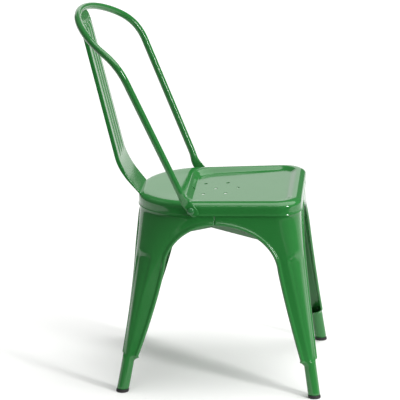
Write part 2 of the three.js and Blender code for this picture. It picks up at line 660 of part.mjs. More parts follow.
function addFasteners() {
  const tabOut = TAB.x + TAB.thick / 2 + CLEAR;
  const skirtIn = SEAT.half * taperAt(BOLT.y + WASHER.radius) - SHEET - LAP_GAP - CLEAR;
  const nutIn = skirtIn - WASHER.thick - CLEAR - NUT.thick;
  const tail = nutIn - BOLT.tail;
  const hole = BOLT.shank + CLEAR;
  const head = profileOf([
    [0, tail], [BOLT.shank - BOLT.chamfer, tail], [BOLT.shank, tail + BOLT.chamfer], [BOLT.shank, tabOut],
    [BOLT.head, tabOut], [BOLT.head, tabOut + 1], [BOLT.head * 0.86, tabOut + BOLT.headHigh * 0.62],
    [BOLT.head * 0.5, tabOut + BOLT.headHigh * 0.92], [0, tabOut + BOLT.headHigh],
  ]);
  const washer = profileOf([
    [hole, 0], [WASHER.radius, 0], [WASHER.radius, WASHER.thick], [hole, WASHER.thick], [hole, 0],
  ]);
  const nutCorner = NUT.flat / Math.cos(Math.PI / 6);
  for (const [hand, side] of [["left", 1], ["right", -1]]) {
    const place = (geometry) => geometry.rotateZ(-side * (Math.PI / 2)).translate(0, BOLT.y, BOLT.z);
    addPiece(`hoop_bolt_${hand}`, place(new THREE.LatheGeometry(head, 20)), FASTENER);
    const ring = new THREE.LatheGeometry(washer, 24).translate(0, skirtIn - WASHER.thick, 0);
    addPiece(`hoop_washer_${hand}`, place(ring), ZINC);
    const hex = new THREE.CylinderGeometry(nutCorner, nutCorner, NUT.thick, 6);
    const bore = new THREE.CylinderGeometry(hole, hole, 2 * NUT.thick, 20);
    const nut = fromSolid(toSolid(hex).subtract(toSolid(bore))).translate(0, nutIn + NUT.thick / 2, 0);
    addPiece(`hoop_nut_${hand}`, place(nut), ZINC);
  }
}

addPiece("seat_pan", seatPan(), STEEL);
addLegs();
addGlides();
addPiece("back_hoop", backHoop(), STEEL);
addPiece("back_splat", backSplat(), STEEL);
addBraces();
addFasteners();

export default chair;
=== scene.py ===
"""The finished look of a pressed-steel stacking chair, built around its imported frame.

Lengths are in metres. +Z is up, the chair's front faces -Y and +X is the sitter's left.
"""
import math
from collections import namedtuple

import bmesh
import bpy
from bpy.props import FloatProperty, FloatVectorProperty, IntProperty, PointerProperty
from mathutils import Matrix, Vector


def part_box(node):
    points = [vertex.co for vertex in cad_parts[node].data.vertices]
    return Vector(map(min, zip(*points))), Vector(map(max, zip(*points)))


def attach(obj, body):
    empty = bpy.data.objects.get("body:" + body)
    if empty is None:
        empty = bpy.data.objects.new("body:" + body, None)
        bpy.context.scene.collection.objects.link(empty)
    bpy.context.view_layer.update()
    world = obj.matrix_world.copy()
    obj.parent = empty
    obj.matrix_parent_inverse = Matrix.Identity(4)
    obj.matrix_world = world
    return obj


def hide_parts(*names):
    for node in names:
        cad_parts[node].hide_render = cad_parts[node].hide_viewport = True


bl_info = {
    "name": "Stacking Chair",
    "version": (1, 0, 0),
    "blender": (4, 5, 0),
    "location": "3D View > Sidebar > Chair",
    "description": "Builds a pressed-steel stacking chair piece by piece around its frame",
    "category": "Add Mesh",
}

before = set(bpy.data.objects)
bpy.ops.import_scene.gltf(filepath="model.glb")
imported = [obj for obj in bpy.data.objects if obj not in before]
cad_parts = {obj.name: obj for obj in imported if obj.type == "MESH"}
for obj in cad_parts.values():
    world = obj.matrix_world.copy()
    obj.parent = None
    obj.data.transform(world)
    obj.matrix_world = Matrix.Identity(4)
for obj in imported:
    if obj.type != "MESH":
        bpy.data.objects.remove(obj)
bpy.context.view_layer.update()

MM = 0.001
ENDS = ("front", "rear")
HANDS = {"left": 1, "right": -1}


# ---- numbers and colours ----

def lerp(a, b, t):
    return a + (b - a) * t


def clamp(value, low, high):
    return min(max(value, low), high)


def smooth(t):
    """Eases from 0 to 1 as t goes from 0 to 1."""
    t = clamp(t, 0, 1)
    return t * t * (3 - 2 * t)


def linear(hex_colour):
    """An sRGB hex colour as linear red, green and blue."""
    parts = [int(hex_colour[i:i + 2], 16) / 255 for i in (0, 2, 4)]
    return [c / 12.92 if c <= 0.04045 else ((c + 0.055) / 1.055) ** 2.4 for c in parts]


def length(label, millimetres, description):
    """A length property whose default is given in millimetres."""
    return FloatProperty(name=label, description=description, default=millimetres * MM, unit="LENGTH")


def tint(label, hex_colour, description):
    """A colour property whose default is an sRGB hex colour."""
    return FloatVectorProperty(name=label, description=description, default=linear(hex_colour),
                               subtype="COLOR", min=0, max=1)


def watts(label, power, description):
    """A property for a lamp's power."""
    return FloatProperty(name=label, description=description, default=power, unit="POWER")


def group(kind, label, description):
    return PointerProperty(type=kind, name=label, description=description)


# ---- sizes that a user would change ----

class ChairSeatSizes(bpy.types.PropertyGroup):
    half: length("Half width", 165, "From the middle to the side of the seat, before it narrows rearwards")
    front: length("Front", -238.5, "Where the front edge is")
    rear: length("Rear", 137.5, "Where the rear edge is")
    front_radius: length("Front corners", 56, "Radius of the front corners")
    rear_radius: length("Rear corners", 133, "Radius of the rear corners")
    rim: length("Rim height", 437.4, "Height of the rim above the floor")
    edge_wide: length("Edge width", 19, "Width of the quarter ellipse that the rim rolls over into the skirt")
    edge_high: length("Edge height", 12, "Height of that quarter ellipse")
    skirt: length("Skirt", 30, "Depth of the skirt below the rim")
    hem: length("Hem", 0.9, "How far the skirt's lower edge stands out")
    dish_depth: length("Dish depth, rear", 13, "How far the sitting surface is pressed down at its rear")
    dish_front: length("Dish depth, front", 6, "How far it is pressed down at its front")
    dish_wall: length("Dish wall", 17, "Width of the slope round the dish")
    drain_radius: length("Drain radius", 4.5, "Radius of each drain hole")


class ChairFrontLegSizes(bpy.types.PropertyGroup):
    foot_x: length("Foot, sideways", 223.5, "From the middle to the outer side of the foot")
    top_y: length("Top, lengthways", 236.1, "From the middle to the end of the leg under the seat")
    splay: length("Splay", 53, "How far the foot stands out lengthways from the top")
    corner: length("Top corner", 53.6, "Radius of the corner under the seat")
    spring: length("Arch spring", 285, "Height where the arch begins")


class ChairRearLegSizes(bpy.types.PropertyGroup):
    foot_x: length("Foot, sideways", 212, "From the middle to the outer side of the foot")
    top_y: length("Top, lengthways", 135.1, "From the middle to the end of the leg under the seat")
    splay: length("Splay", 41, "How far the foot stands out lengthways from the top")
    corner: length("Top corner", 130.6, "Radius of the corner under the seat")
    spring: length("Arch spring", 290, "Height where the arch begins")


class ChairPressingSizes(bpy.types.PropertyGroup):
    sheet: length("Sheet", 1.5, "Thickness of the seat's and the legs' steel sheet")
    apex: length("Arch top", 383.5, "Height of the arches' highest edge")
    foot_radius: length("Foot radius", 13.9, "Outer radius of the rolled feet")
    bead: length("Edge bead", 3.4, "Height of the bead pressed along the arches and the legs")
    bead_width: length("Edge bead width", 10, "Width of that bead")
    flute: length("Corner flute", 2.6, "Depth of the long flute pressed into each leg's corner")


class ChairBackSizes(bpy.types.PropertyGroup):
    tube: length("Tube radius", 8, "Outer radius of the hoop's tube")
    tab_thick: length("Tab thickness", 5.6, "Thickness of the tube's flattened ends")
    tab_wide: length("Tab width", 21.5, "Width of the tube's flattened ends")
    splat_sheet: length("Splat sheet", 1.4, "Thickness of the splat's sheet")
    flange: length("Splat flange", 9, "Depth of the splat's side flanges")
    rib_pitch: length("Rib spacing", 31, "Distance between the splat's ribs")
    rib_width: length("Rib width", 12, "Width of each rib")
    rib_height: length("Rib height", 2.4, "Height of each rib")
    sides: IntProperty(name="Tube sides", description="Faces round the tube", default=32, min=8)


class ChairFinish(bpy.types.PropertyGroup):
    paint: tint("Powder coat", "2A7636", "Colour of the painted steel")
    bolt: tint("Bolt paint", "2C6F3B", "Colour of the bolt heads")
    rubber: tint("Rubber", "1C1D1E", "Colour of the glides")
    plastic: tint("Plastic", "1A1B1D", "Colour of the brace caps")
    zinc: tint("Zinc", "C3C6CB", "Colour of the nuts and washers")


class ChairStage(bpy.types.PropertyGroup):
    azimuth: FloatProperty(name="Azimuth", description="Camera direction, counted from the chair's front",
                           default=math.radians(274.2667), subtype="ANGLE")
    elevation: FloatProperty(name="Elevation", description="Camera angle above the floor",
                             default=math.radians(15.7329), subtype="ANGLE")
    distance: FloatProperty(name="Distance", description="Camera distance from the point it looks at",
                            default=6.769, unit="LENGTH")
    height: FloatProperty(name="Look-at height", description="Height of the point the camera looks at",
                          default=0.3989, unit="LENGTH")
    lens: FloatProperty(name="Lens", description="Focal length in millimetres", default=265.15, unit="CAMERA")
    sky: FloatProperty(name="Room light", description="Strength of the even light all round", default=0.15)
    top_light: FloatProperty(name="Top light", description="Strength of the wide light overhead", default=3.2)
    front_light: watts("Front light", 56, "Power of the soft box at the front")
    strip_light: watts("Strip light", 14, "Power of the thin light that draws the edges")
    far_card: watts("Far card", 21, "Power of the lit card that the seat reflects")


class ChairSettings(bpy.types.PropertyGroup):
    seat: group(ChairSeatSizes, "Seat", "Sizes of the seat pan")
    front: group(ChairFrontLegSizes, "Front legs", "Sizes of the front legs")
    rear: group(ChairRearLegSizes, "Rear legs", "Sizes of the rear legs")
    pressing: group(ChairPressingSizes, "Pressings", "Sizes of the sheet work")
    back: group(ChairBackSizes, "Back", "Sizes of the hoop and the splat")
    finish: group(ChairFinish, "Finish", "Colours of the materials")
    stage: group(ChairStage, "Stage", "Camera and lights")


def settings():
    return bpy.context.scene.stacking_chair


# ---- sizes that hold the pieces together ----

RIM_SLOPE = 0.035  # the seat rises towards the front
TAPER = 0.3  # share by which the plan narrows for each metre rearwards
ARCH_Y = -44 * MM  # where the front and rear legs meet at the side
LAP_TOP = 402 * MM  # the legs' faces are upright above this height, where the skirt covers them
LAP_GAP = 0.9 * MM
CLEAR = 0.4 * MM
APRON_TOP, APRON_LEG = 29 * MM, 18 * MM  # width of the strip along the edge, over the arch and down the leg
CURL_TOP = 86 * MM  # the leg's section starts to roll up here
CURL_BOTTOM = 69 * MM  # and is a round foot from here down
FOOT_END = 8 * MM
ROLL_SEAM = 1.4 * MM  # gap left along the rolled foot
FLUTE_TOP, FLUTE_BOTTOM = 318 * MM, 79 * MM
FLUTE_HALF_TOP, FLUTE_HALF_BOTTOM = 29 * MM, 12 * MM  # half width of the corner's flute at its top and bottom
FLUTE_SIDE, FLUTE_END = 8 * MM, 14 * MM  # width of the flute's sloping sides, length of its half-round ends
RISE_POWER = 1.15  # how the flanges narrow down the leg

Plan = namedtuple("Plan", "half front rear front_radius rear_radius")
DISH = Plan(145.5 * MM, -219 * MM, 26 * MM, 46 * MM, 56 * MM)

# side: 1 at the front; bow: how the face curves outwards; low: flange width above the foot
LegShape = namedtuple("LegShape", "side bow_x bow_y corner_power side_flange end_flange low")
LEG_SHAPES = {
    "front": LegShape(1, 1.2, 1.2, 1.5, 60 * MM, 58 * MM, 34 * MM),
    "rear": LegShape(-1, 1.2, 1.9, 2.6, 72 * MM, 72 * MM, 36.5 * MM),
}


def spot(x, y, z):
    """A point given in millimetres."""
    return Vector((x, y, z)) * MM


HOOP_TIP, HOOP_TAB_TOP = spot(168.8, -5, 409.5), spot(168.8, 15.6, 434)
HOOP_LOWER, HOOP_SHOULDER, HOOP_CROWN = spot(180.1, 33.5, 470), spot(228.9, 163.9, 765.4), spot(0, 275.1, 837)
HOOP_ARCH = Vector((-0.4336, 0.757, 0.4876)).normalized()  # direction of the tube above the shoulder
HOOP_BEND, HOOP_ARCH_REACH, HOOP_CROWN_REACH = 46 * MM, 45 * MM, 109.3 * MM
TAB_REACH = 18 * MM
TAB_FLAT_END, TAB_ROUND_START = 31 * MM, 65 * MM  # from the tip: flat up to the first, round from the second

SPLAT_FOOT = [spot(0, 130.2, 427.9), spot(0, 172.1, 480.2), spot(0, 180.7, 515)]
SPLAT_MIDDLE = [SPLAT_FOOT[-1], spot(0, 252, 800)]
SPLAT_TOP = [SPLAT_MIDDLE[-1], spot(0, 259, 821), spot(0, 271, 834)]
# where the splat's corners lie from the middle of its ends, and the share of its length that each end
# bends over
SPLAT_FOOT_SAG, SPLAT_FOOT_SHARE = spot(0, -2, 0), 0.12
SPLAT_TOP_SAG, SPLAT_TOP_SHARE = spot(0, -4.7, -3.1), 0.09
SPLAT_BEND = 2.4 * MM  # radius between the splat's face and its flanges
SPLAT_FOOT_FLANGE, SPLAT_FLANGE_FULL = 4 * MM, 0.2  # the flanges widen from the foot up to this share
RIB_START, RIB_END, RIB_FADE = 0.2, 0.95, 0.045  # shares of the splat's length

BOLT_HOLE = 3.4 * MM  # radius of the holes that the bolts pass through
GLIDE_HIGH = 34 * MM
NOISE_LOW, NOISE_HIGH = 0.3, 0.7  # a noise pattern's values lie mostly between these

SEAT_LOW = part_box("seat_pan")[0]
BOLT_LOW, BOLT_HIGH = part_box("hoop_bolt_left")


def shift_y():
    """How far the frame puts the chair rearwards of the plan that the pieces are drawn on."""
    return SEAT_LOW.y - settings().seat.front


# ---- meshes ----

def add_object(name, data):
    obj = bpy.data.objects.new(name, data)
    bpy.context.scene.collection.objects.link(obj)
    return obj


def skin(name, rows, around=False, ends=False):
    """A mesh over rows of points; around joins each row's last point to its first, ends closes both ends."""
    count = len(rows[0])
    faces = []
    for r in range(len(rows) - 1):
        for c in range(count if around else count - 1):
            d = (c + 1) % count
            faces.append((r * count + c, r * count + d, (r + 1) * count + d, (r + 1) * count + c))
    if ends:
        last = (len(rows) - 1) * count
        faces.append(tuple(reversed(range(count))))
        faces.append(tuple(last + c for c in range(count)))
    mesh = bpy.data.meshes.new(name)
    mesh.from_pydata([tuple(p) for row in rows for p in row], [], faces)
    mesh.shade_smooth()
    return add_object(name, mesh)


def tidy_mesh(obj, merge=0.01 * MM):
    """Merges doubled points and turns every face outwards."""
    work = bmesh.new()
    work.from_mesh(obj.data)
    bmesh.ops.remove_doubles(work, verts=work.verts, dist=merge)
    bmesh.ops.recalc_face_normals(work, faces=work.faces)
    work.to_mesh(obj.data)
    work.free()
    return obj


def circle(radius, height, sides):
    """Points round a level circle."""
    turns = [2 * math.pi * i / sides for i in range(sides)]
    return [(radius * math.cos(a), radius * math.sin(a), height) for a in turns]


def lathe(name, profile, sides):
    """A solid turned about +Z from (radius, height) pairs that end on the axis or close a ring."""
    return tidy_mesh(skin(name, [circle(radius, height, sides) for radius, height in profile], around=True))


def slab(name, outline, depth):
    """A flat outline pushed along a vector into a closed solid."""
    rows = [[Vector(p) for p in outline], [Vector(p) + depth for p in outline]]
    return tidy_mesh(skin(name, rows, around=True, ends=True))


def into_frame(obj):
    """Moves a mesh drawn on the plan to where the frame has it."""
    obj.data.transform(Matrix.Translation((0, shift_y(), 0)))
    return obj


def add_modifier(obj, kind, **values):
    modifier = obj.modifiers.new(kind.title(), kind)
    for key, value in values.items():
        setattr(modifier, key, value)


def solidify(obj, thickness):
    """Gives a sheet its thickness inwards, with edges that stay crisp when it is subdivided."""
    add_modifier(obj, "SOLIDIFY", thickness=thickness, offset=-1, use_even_offset=True,
                 edge_crease_outer=1, edge_crease_inner=1, edge_crease_rim=1)


def subdivide(obj):
    add_modifier(obj, "SUBSURF", levels=1, render_levels=1)


def bevel(obj, width, segments=2):
    add_modifier(obj, "BEVEL", width=width, segments=segments, limit_method="ANGLE",
                 angle_limit=math.radians(50))


def settle(obj, name=None, crease=35):
    """Keeps what the modifiers make as a plain mesh, sharp where faces meet at more than crease degrees."""
    name = name or obj.name
    graph = bpy.context.evaluated_depsgraph_get()
    mesh = bpy.data.meshes.new_from_object(obj.evaluated_get(graph))
    bpy.data.objects.remove(obj)
    mesh.name = name
    mesh.shade_smooth()
    mesh.set_sharp_from_angle(angle=math.radians(crease))
    return add_object(name, mesh)


def finish_piece(obj, material, slot, *nodes):
    """Gives a piece its material, and lets it stand for its CAD nodes. The slot argument is not used."""
    if not obj.data.materials:
        obj.data.materials.append(material)
    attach(obj, "root")
    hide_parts(*nodes)


def bezier(points, t):
    """The point at t on the Bezier curve of any number of control points."""
    while len(points) > 1:
        points = [a.lerp(b, t) for a, b in zip(points, points[1:])]
    return points[0]


def trace(pieces):
    """Points along Bezier pieces given as (control points, steps), each joined to the next."""
    route = [pieces[0][0][0].copy()]
    for points, steps in pieces:
        route += [bezier(points, i / steps) for i in range(1, steps + 1)]
    return route


# ---- nodes ----

def add(tree, kind, inputs=None, out=0, **values):
    """Adds a node with its settings and its input values or links, and gives its output number out."""
    node = tree.nodes.new(kind)
    for key, value in values.items():
        setattr(node, key, value)
    for key, value in (inputs or {}).items():
        if isinstance(value, bpy.types.NodeSocket):
            tree.links.new(value, node.inputs[key])
        else:
            node.inputs[key].default_value = value
    return node.outputs[out] if node.outputs else node


def geometry_tree(name, sockets):
    """A geometry tree with the named inputs, and the node that gives them."""
    tree = bpy.data.node_groups.new(name, "GeometryNodeTree")
    tree.interface.new_socket("Geometry", in_out="INPUT", socket_type="NodeSocketGeometry")
    for label, kind in sockets:
        tree.interface.new_socket(label, in_out="INPUT", socket_type="NodeSocket" + kind)
    tree.interface.new_socket("Geometry", in_out="OUTPUT", socket_type="NodeSocketGeometry")
    return tree, add(tree, "NodeGroupInput").node.outputs


def run_tree(obj, tree, **values):
    """Puts a geometry tree on an object, with its inputs set by their identifiers."""
    modifier = obj.modifiers.new(tree.name, "NODES")
    modifier.node_group = tree
    for item in tree.interface.items_tree:
        key = item.name.lower().replace(" ", "_")
        if item.in_out == "INPUT" and key in values:
            modifier[item.identifier] = values[key]
    obj.update_tag()


# where a copy goes, how far it turns about each axis, and how far it leans for each metre of height
Place = namedtuple("Place", "at turn lean", defaults=((0, 0, 0), (0, 0, 0)))


def place_points(name, places):
    """Points that carry how a copy turns and how it leans."""
    mesh = bpy.data.meshes.new(name)
    mesh.from_pydata([place.at for place in places], [], [])
    for label in ("turn", "lean"):
        values = mesh.attributes.new(label, "FLOAT_VECTOR", "POINT")
        values.data.foreach_set("vector", [v for place in places for v in getattr(place, label)])
    return add_object(name, mesh)


def end_tree(tree, geometry, material):
    """Gives a tree's result its material and sends it out."""
    painted = add(tree, "GeometryNodeSetMaterial", {"Geometry": geometry, "Material": material})
    add(tree, "NodeGroupOutput", {0: painted})
    return tree


def real_copies(tree, points, piece):
    """Copies of an object on points, each turned as its point says, as real mesh."""
    shape = add(tree, "GeometryNodeObjectInfo", {"Object": piece}).node.outputs["Geometry"]
    turn = add(tree, "GeometryNodeInputNamedAttribute", {"Name": "turn"}, data_type="FLOAT_VECTOR")
    copies = add(tree, "GeometryNodeInstanceOnPoints",
                 {"Points": points, "Instance": shape, "Rotation": turn})
    return add(tree, "GeometryNodeRealizeInstances", {0: copies})


def copies_tree():
    """Sets out copies of a piece on points, turned and leaning as each point says."""
    tree, given = geometry_tree("set_out_copies", [("Piece", "Object"), ("Material", "Material")])
    real = real_copies(tree, given["Geometry"], given["Piece"])
    lean = add(tree, "GeometryNodeInputNamedAttribute", {"Name": "lean"}, data_type="FLOAT_VECTOR")
    height = add(tree, "ShaderNodeSeparateXYZ", {0: add(tree, "GeometryNodeInputPosition")}, out=2)
    offset = add(tree, "ShaderNodeVectorMath", {0: lean, "Scale": height}, operation="SCALE")
    leaning = add(tree, "GeometryNodeSetPosition", {"Geometry": real, "Offset": offset})
    return end_tree(tree, leaning, given["Material"])


def punch_tree():
    """Cuts a copy of a cutter out of the mesh at each place."""
    tree, given = geometry_tree(
        "punch_openings", [("Cutter", "Object"), ("Places", "Object"), ("Material", "Material")])
    places = add(tree, "GeometryNodeObjectInfo", {"Object": given["Places"]}).node.outputs["Geometry"]
    cutters = real_copies(tree, places, given["Cutter"])
    cut = add(tree, "GeometryNodeMeshBoolean", {"Mesh 1": given["Geometry"], "Mesh 2": cutters},
              operation="DIFFERENCE", solver="EXACT")
    return end_tree(tree, cut, given["Material"])


def punch(obj, cutter, places, material):
    """Cuts the openings, and removes the cutter and the places."""
    run_tree(obj, punch_tree(), cutter=cutter, places=places, material=material)
    done = settle(obj)
    bpy.data.objects.remove(cutter)
    bpy.data.objects.remove(places)
    return done


def set_out(name, piece, places, material):
    """Copies a piece to its places as one mesh, and removes the pattern."""
    points = place_points(name, places)
    run_tree(points, copies_tree(), piece=piece, material=material)
    done = settle(points)
    for label in ("turn", "lean"):
        stale = done.data.attributes.get(label)
        if stale:
            done.data.attributes.remove(stale)
    bpy.data.objects.remove(piece)
    return done


def tube_tree():
    """Sweeps a round tube along a line and flattens both of its ends."""
    tree, given = geometry_tree("bend_and_flatten_tube", [
        ("Radius", "Float"), ("Sides", "Int"), ("Tab thick", "Float"), ("Tab wide", "Float"),
        ("Flat end", "Float"), ("Round start", "Float"), ("Material", "Material")])
    along = add(tree, "GeometryNodeSplineParameter", out=1)
    whole = add(tree, "GeometryNodeSplineLength")
    rest = add(tree, "ShaderNodeMath", {0: whole, 1: along}, operation="SUBTRACT")
    from_end = add(tree, "ShaderNodeMath", {0: along, 1: rest}, operation="MINIMUM")
    keep = tree.nodes.new("GeometryNodeCaptureAttribute")
    for kind, label in (("VECTOR", "Middle"), ("VECTOR", "Run"), ("FLOAT", "From end")):
        keep.capture_items.new(kind, label)
    tree.links.new(given["Geometry"], keep.inputs["Geometry"])
    tree.links.new(add(tree, "GeometryNodeInputPosition"), keep.inputs["Middle"])
    tree.links.new(add(tree, "GeometryNodeInputTangent"), keep.inputs["Run"])
    tree.links.new(from_end, keep.inputs["From end"])
    middle, run, distance = (keep.outputs[label] for label in ("Middle", "Run", "From end"))
    section = add(tree, "GeometryNodeCurvePrimitiveCircle",
                  {"Resolution": given["Sides"], "Radius": given["Radius"]})
    swept = add(tree, "GeometryNodeCurveToMesh",
                {"Curve": keep.outputs["Geometry"], "Profile Curve": section, "Fill Caps": True})
    # the section's two axes near the ends: thin is sideways, wide runs along the tab's face
    sideways = add(tree, "ShaderNodeVectorMath", {0: run, 1: (1, 0, 0)}, out=1, operation="DOT_PRODUCT")
    drop = add(tree, "ShaderNodeVectorMath", {0: run, "Scale": sideways}, operation="SCALE")
    level = add(tree, "ShaderNodeVectorMath", {0: (1, 0, 0), 1: drop}, operation="SUBTRACT")
    thin_axis = add(tree, "ShaderNodeVectorMath", {0: level}, operation="NORMALIZE")
    wide_axis = add(tree, "ShaderNodeVectorMath", {0: run, 1: thin_axis}, operation="CROSS_PRODUCT")
    here = add(tree, "GeometryNodeInputPosition")
    offset = add(tree, "ShaderNodeVectorMath", {0: here, 1: middle}, operation="SUBTRACT")
    round_thin = add(tree, "ShaderNodeVectorMath", {0: offset, 1: thin_axis}, out=1, operation="DOT_PRODUCT")
    round_wide = add(tree, "ShaderNodeVectorMath", {0: offset, 1: wide_axis}, out=1, operation="DOT_PRODUCT")
    # a flat section with full sides: the root of the round one's share, with its sign kept
    share = add(tree, "ShaderNodeMath", {0: round_thin, 1: given["Radius"]}, operation="DIVIDE")
    size = add(tree, "ShaderNodeMath", {0: share}, operation="ABSOLUTE")
    fullness = 0.45
    root = add(tree, "ShaderNodeMath", {0: size, 1: fullness}, operation="POWER")
    sign = add(tree, "ShaderNodeMath", {0: share}, operation="SIGN")
    half_thick = add(tree, "ShaderNodeMath", {0: given["Tab thick"], 1: 0.5}, operation="MULTIPLY")
    full = add(tree, "ShaderNodeMath", {0: root, 1: sign}, operation="MULTIPLY")
    flat_thin = add(tree, "ShaderNodeMath", {0: full, 1: half_thick}, operation="MULTIPLY")
    half_wide = add(tree, "ShaderNodeMath", {0: given["Tab wide"], 1: 0.5}, operation="MULTIPLY")
    wide_share = add(tree, "ShaderNodeMath", {0: round_wide, 1: given["Radius"]}, operation="DIVIDE")
    flat_wide = add(tree, "ShaderNodeMath", {0: wide_share, 1: half_wide}, operation="MULTIPLY")
    flat = add(tree, "ShaderNodeMapRange", {"Value": distance, 1: given["Flat end"], 2: given["Round start"],
                                            3: 1.0, 4: 0.0}, interpolation_type="SMOOTHSTEP")
    thin = add(tree, "ShaderNodeMix", {0: flat, 2: round_thin, 3: flat_thin}, data_type="FLOAT")
    wide = add(tree, "ShaderNodeMix", {0: flat, 2: round_wide, 3: flat_wide}, data_type="FLOAT")
    # the tip is a half round: its width follows a circle as wide as the tab
    tip_reach = 0.95
    reach = add(tree, "ShaderNodeMapRange", {"Value": distance, 1: 0.0, 2: half_wide, 3: tip_reach, 4: 0.0})
    square = add(tree, "ShaderNodeMath", {0: reach, 1: reach}, operation="MULTIPLY")
    left = add(tree, "ShaderNodeMath", {0: 1.0, 1: square}, operation="SUBTRACT")
    tip = add(tree, "ShaderNodeMath", {0: left}, operation="SQRT")
    tip_wide = add(tree, "ShaderNodeMath", {0: wide, 1: tip}, operation="MULTIPLY")
    thin_part = add(tree, "ShaderNodeVectorMath", {0: thin_axis, "Scale": thin}, operation="SCALE")
    wide_part = add(tree, "ShaderNodeVectorMath", {0: wide_axis, "Scale": tip_wide}, operation="SCALE")
    both = add(tree, "ShaderNodeVectorMath", {0: thin_part, 1: wide_part}, operation="ADD")
    target = add(tree, "ShaderNodeVectorMath", {0: middle, 1: both}, operation="ADD")
    near_end = add(tree, "FunctionNodeCompare", {0: distance, 1: given["Round start"]}, operation="LESS_THAN")
    shaped = add(tree, "GeometryNodeSetPosition",
                 {"Geometry": swept, "Selection": near_end, "Position": target})
    return end_tree(tree, shaped, given["Material"])


def rib_tree():
    """Presses three ribs into a sheet that carries where each point is across and along it."""
    tree, given = geometry_tree("press_ribs", [
        ("Pitch", "Float"), ("Width", "Float"), ("Height", "Float"), ("Start", "Float"), ("End", "Float"),
        ("Fade", "Float"), ("Material", "Material")])
    across = add(tree, "GeometryNodeInputNamedAttribute", {"Name": "across"}, data_type="FLOAT")
    along = add(tree, "GeometryNodeInputNamedAttribute", {"Name": "along"}, data_type="FLOAT")
    steps = add(tree, "ShaderNodeMath", {0: across, 1: given["Pitch"]}, operation="DIVIDE")
    nearest = add(tree, "ShaderNodeMath", {0: steps}, operation="ROUND")
    inner = add(tree, "ShaderNodeClamp", {0: nearest, 1: -1.0, 2: 1.0})
    away = add(tree, "ShaderNodeMath", {0: steps, 1: inner}, operation="SUBTRACT")
    gap = add(tree, "ShaderNodeMath", {0: away}, operation="ABSOLUTE")
    distance = add(tree, "ShaderNodeMath", {0: gap, 1: given["Pitch"]}, operation="MULTIPLY")
    half = add(tree, "ShaderNodeMath", {0: given["Width"], 1: 0.5}, operation="MULTIPLY")
    crest = add(tree, "ShaderNodeMapRange", {"Value": distance, 1: 0.0, 2: half, 3: given["Height"], 4: 0.0},
                interpolation_type="SMOOTHSTEP")
    in_from = add(tree, "ShaderNodeMath", {0: given["Start"], 1: given["Fade"]}, operation="ADD")
    out_from = add(tree, "ShaderNodeMath", {0: given["End"], 1: given["Fade"]}, operation="SUBTRACT")
    fade_in = add(tree, "ShaderNodeMapRange", {"Value": along, 1: given["Start"], 2: in_from, 3: 0.0, 4: 1.0},
                  interpolation_type="SMOOTHSTEP")
    fade_out = add(tree, "ShaderNodeMapRange", {"Value": along, 1: out_from, 2: given["End"], 3: 1.0, 4: 0.0},
                   interpolation_type="SMOOTHSTEP")
    ends = add(tree, "ShaderNodeMath", {0: fade_in, 1: fade_out}, operation="MULTIPLY")
    height = add(tree, "ShaderNodeMath", {0: crest, 1: ends}, operation="MULTIPLY")
    push = add(tree, "ShaderNodeVectorMath", {0: add(tree, "GeometryNodeInputNormal"), "Scale": height},
               operation="SCALE")
    pressed = add(tree, "GeometryNodeSetPosition", {"Geometry": given["Geometry"], "Offset": push})
    return end_tree(tree, pressed, given["Material"])


# ---- materials ----

def new_material(name):
    """An empty node material, its tree and the place that its patterns read."""
    material = bpy.data.materials.get(name)
    if material:
        bpy.data.materials.remove(material)
    material = bpy.data.materials.new(name)
    material.use_nodes = True
    material.node_tree.nodes.clear()
    tree = material.node_tree
    return material, tree, add(tree, "ShaderNodeTexCoord", out=3)


def gloss_powder_coat(name, colour):
    """Gloss polyester powder coat, sprayed dry on steel and baked: a hard, even shine, faint orange peel."""
    material, tree, place = new_material(name)
    # film thickness drifts over a hand's width, which shifts the tone slightly
    drift = add(tree, "ShaderNodeTexNoise", {"Vector": place, "Scale": 1 / (90 * MM), "Detail": 2.0})
    shade = [c * 0.92 for c in colour]
    tone = add(tree, "ShaderNodeMix", {0: drift, 6: (*shade, 1), 7: (*colour, 1)}, out=2, data_type="RGBA")
    # orange peel: low waves some 3 mm long
    peel = add(tree, "ShaderNodeTexNoise", {"Vector": place, "Scale": 1 / (3 * MM), "Detail": 1.0})
    bump = add(tree, "ShaderNodeBump", {"Height": peel, "Distance": 0.03 * MM, "Strength": 0.6})
    # handling leaves the shine a little uneven
    rub = add(tree, "ShaderNodeTexNoise", {"Vector": place, "Scale": 1 / (35 * MM), "Detail": 3.0})
    dull = add(tree, "ShaderNodeMapRange", {"Value": rub, 1: NOISE_LOW, 2: NOISE_HIGH, 3: 0.09, 4: 0.13})
    shader = add(tree, "ShaderNodeBsdfPrincipled", {
        "Base Color": tone, "Roughness": dull, "Normal": bump, "IOR": 1.5})
    add(tree, "ShaderNodeOutputMaterial", {"Surface": shader})
    return material


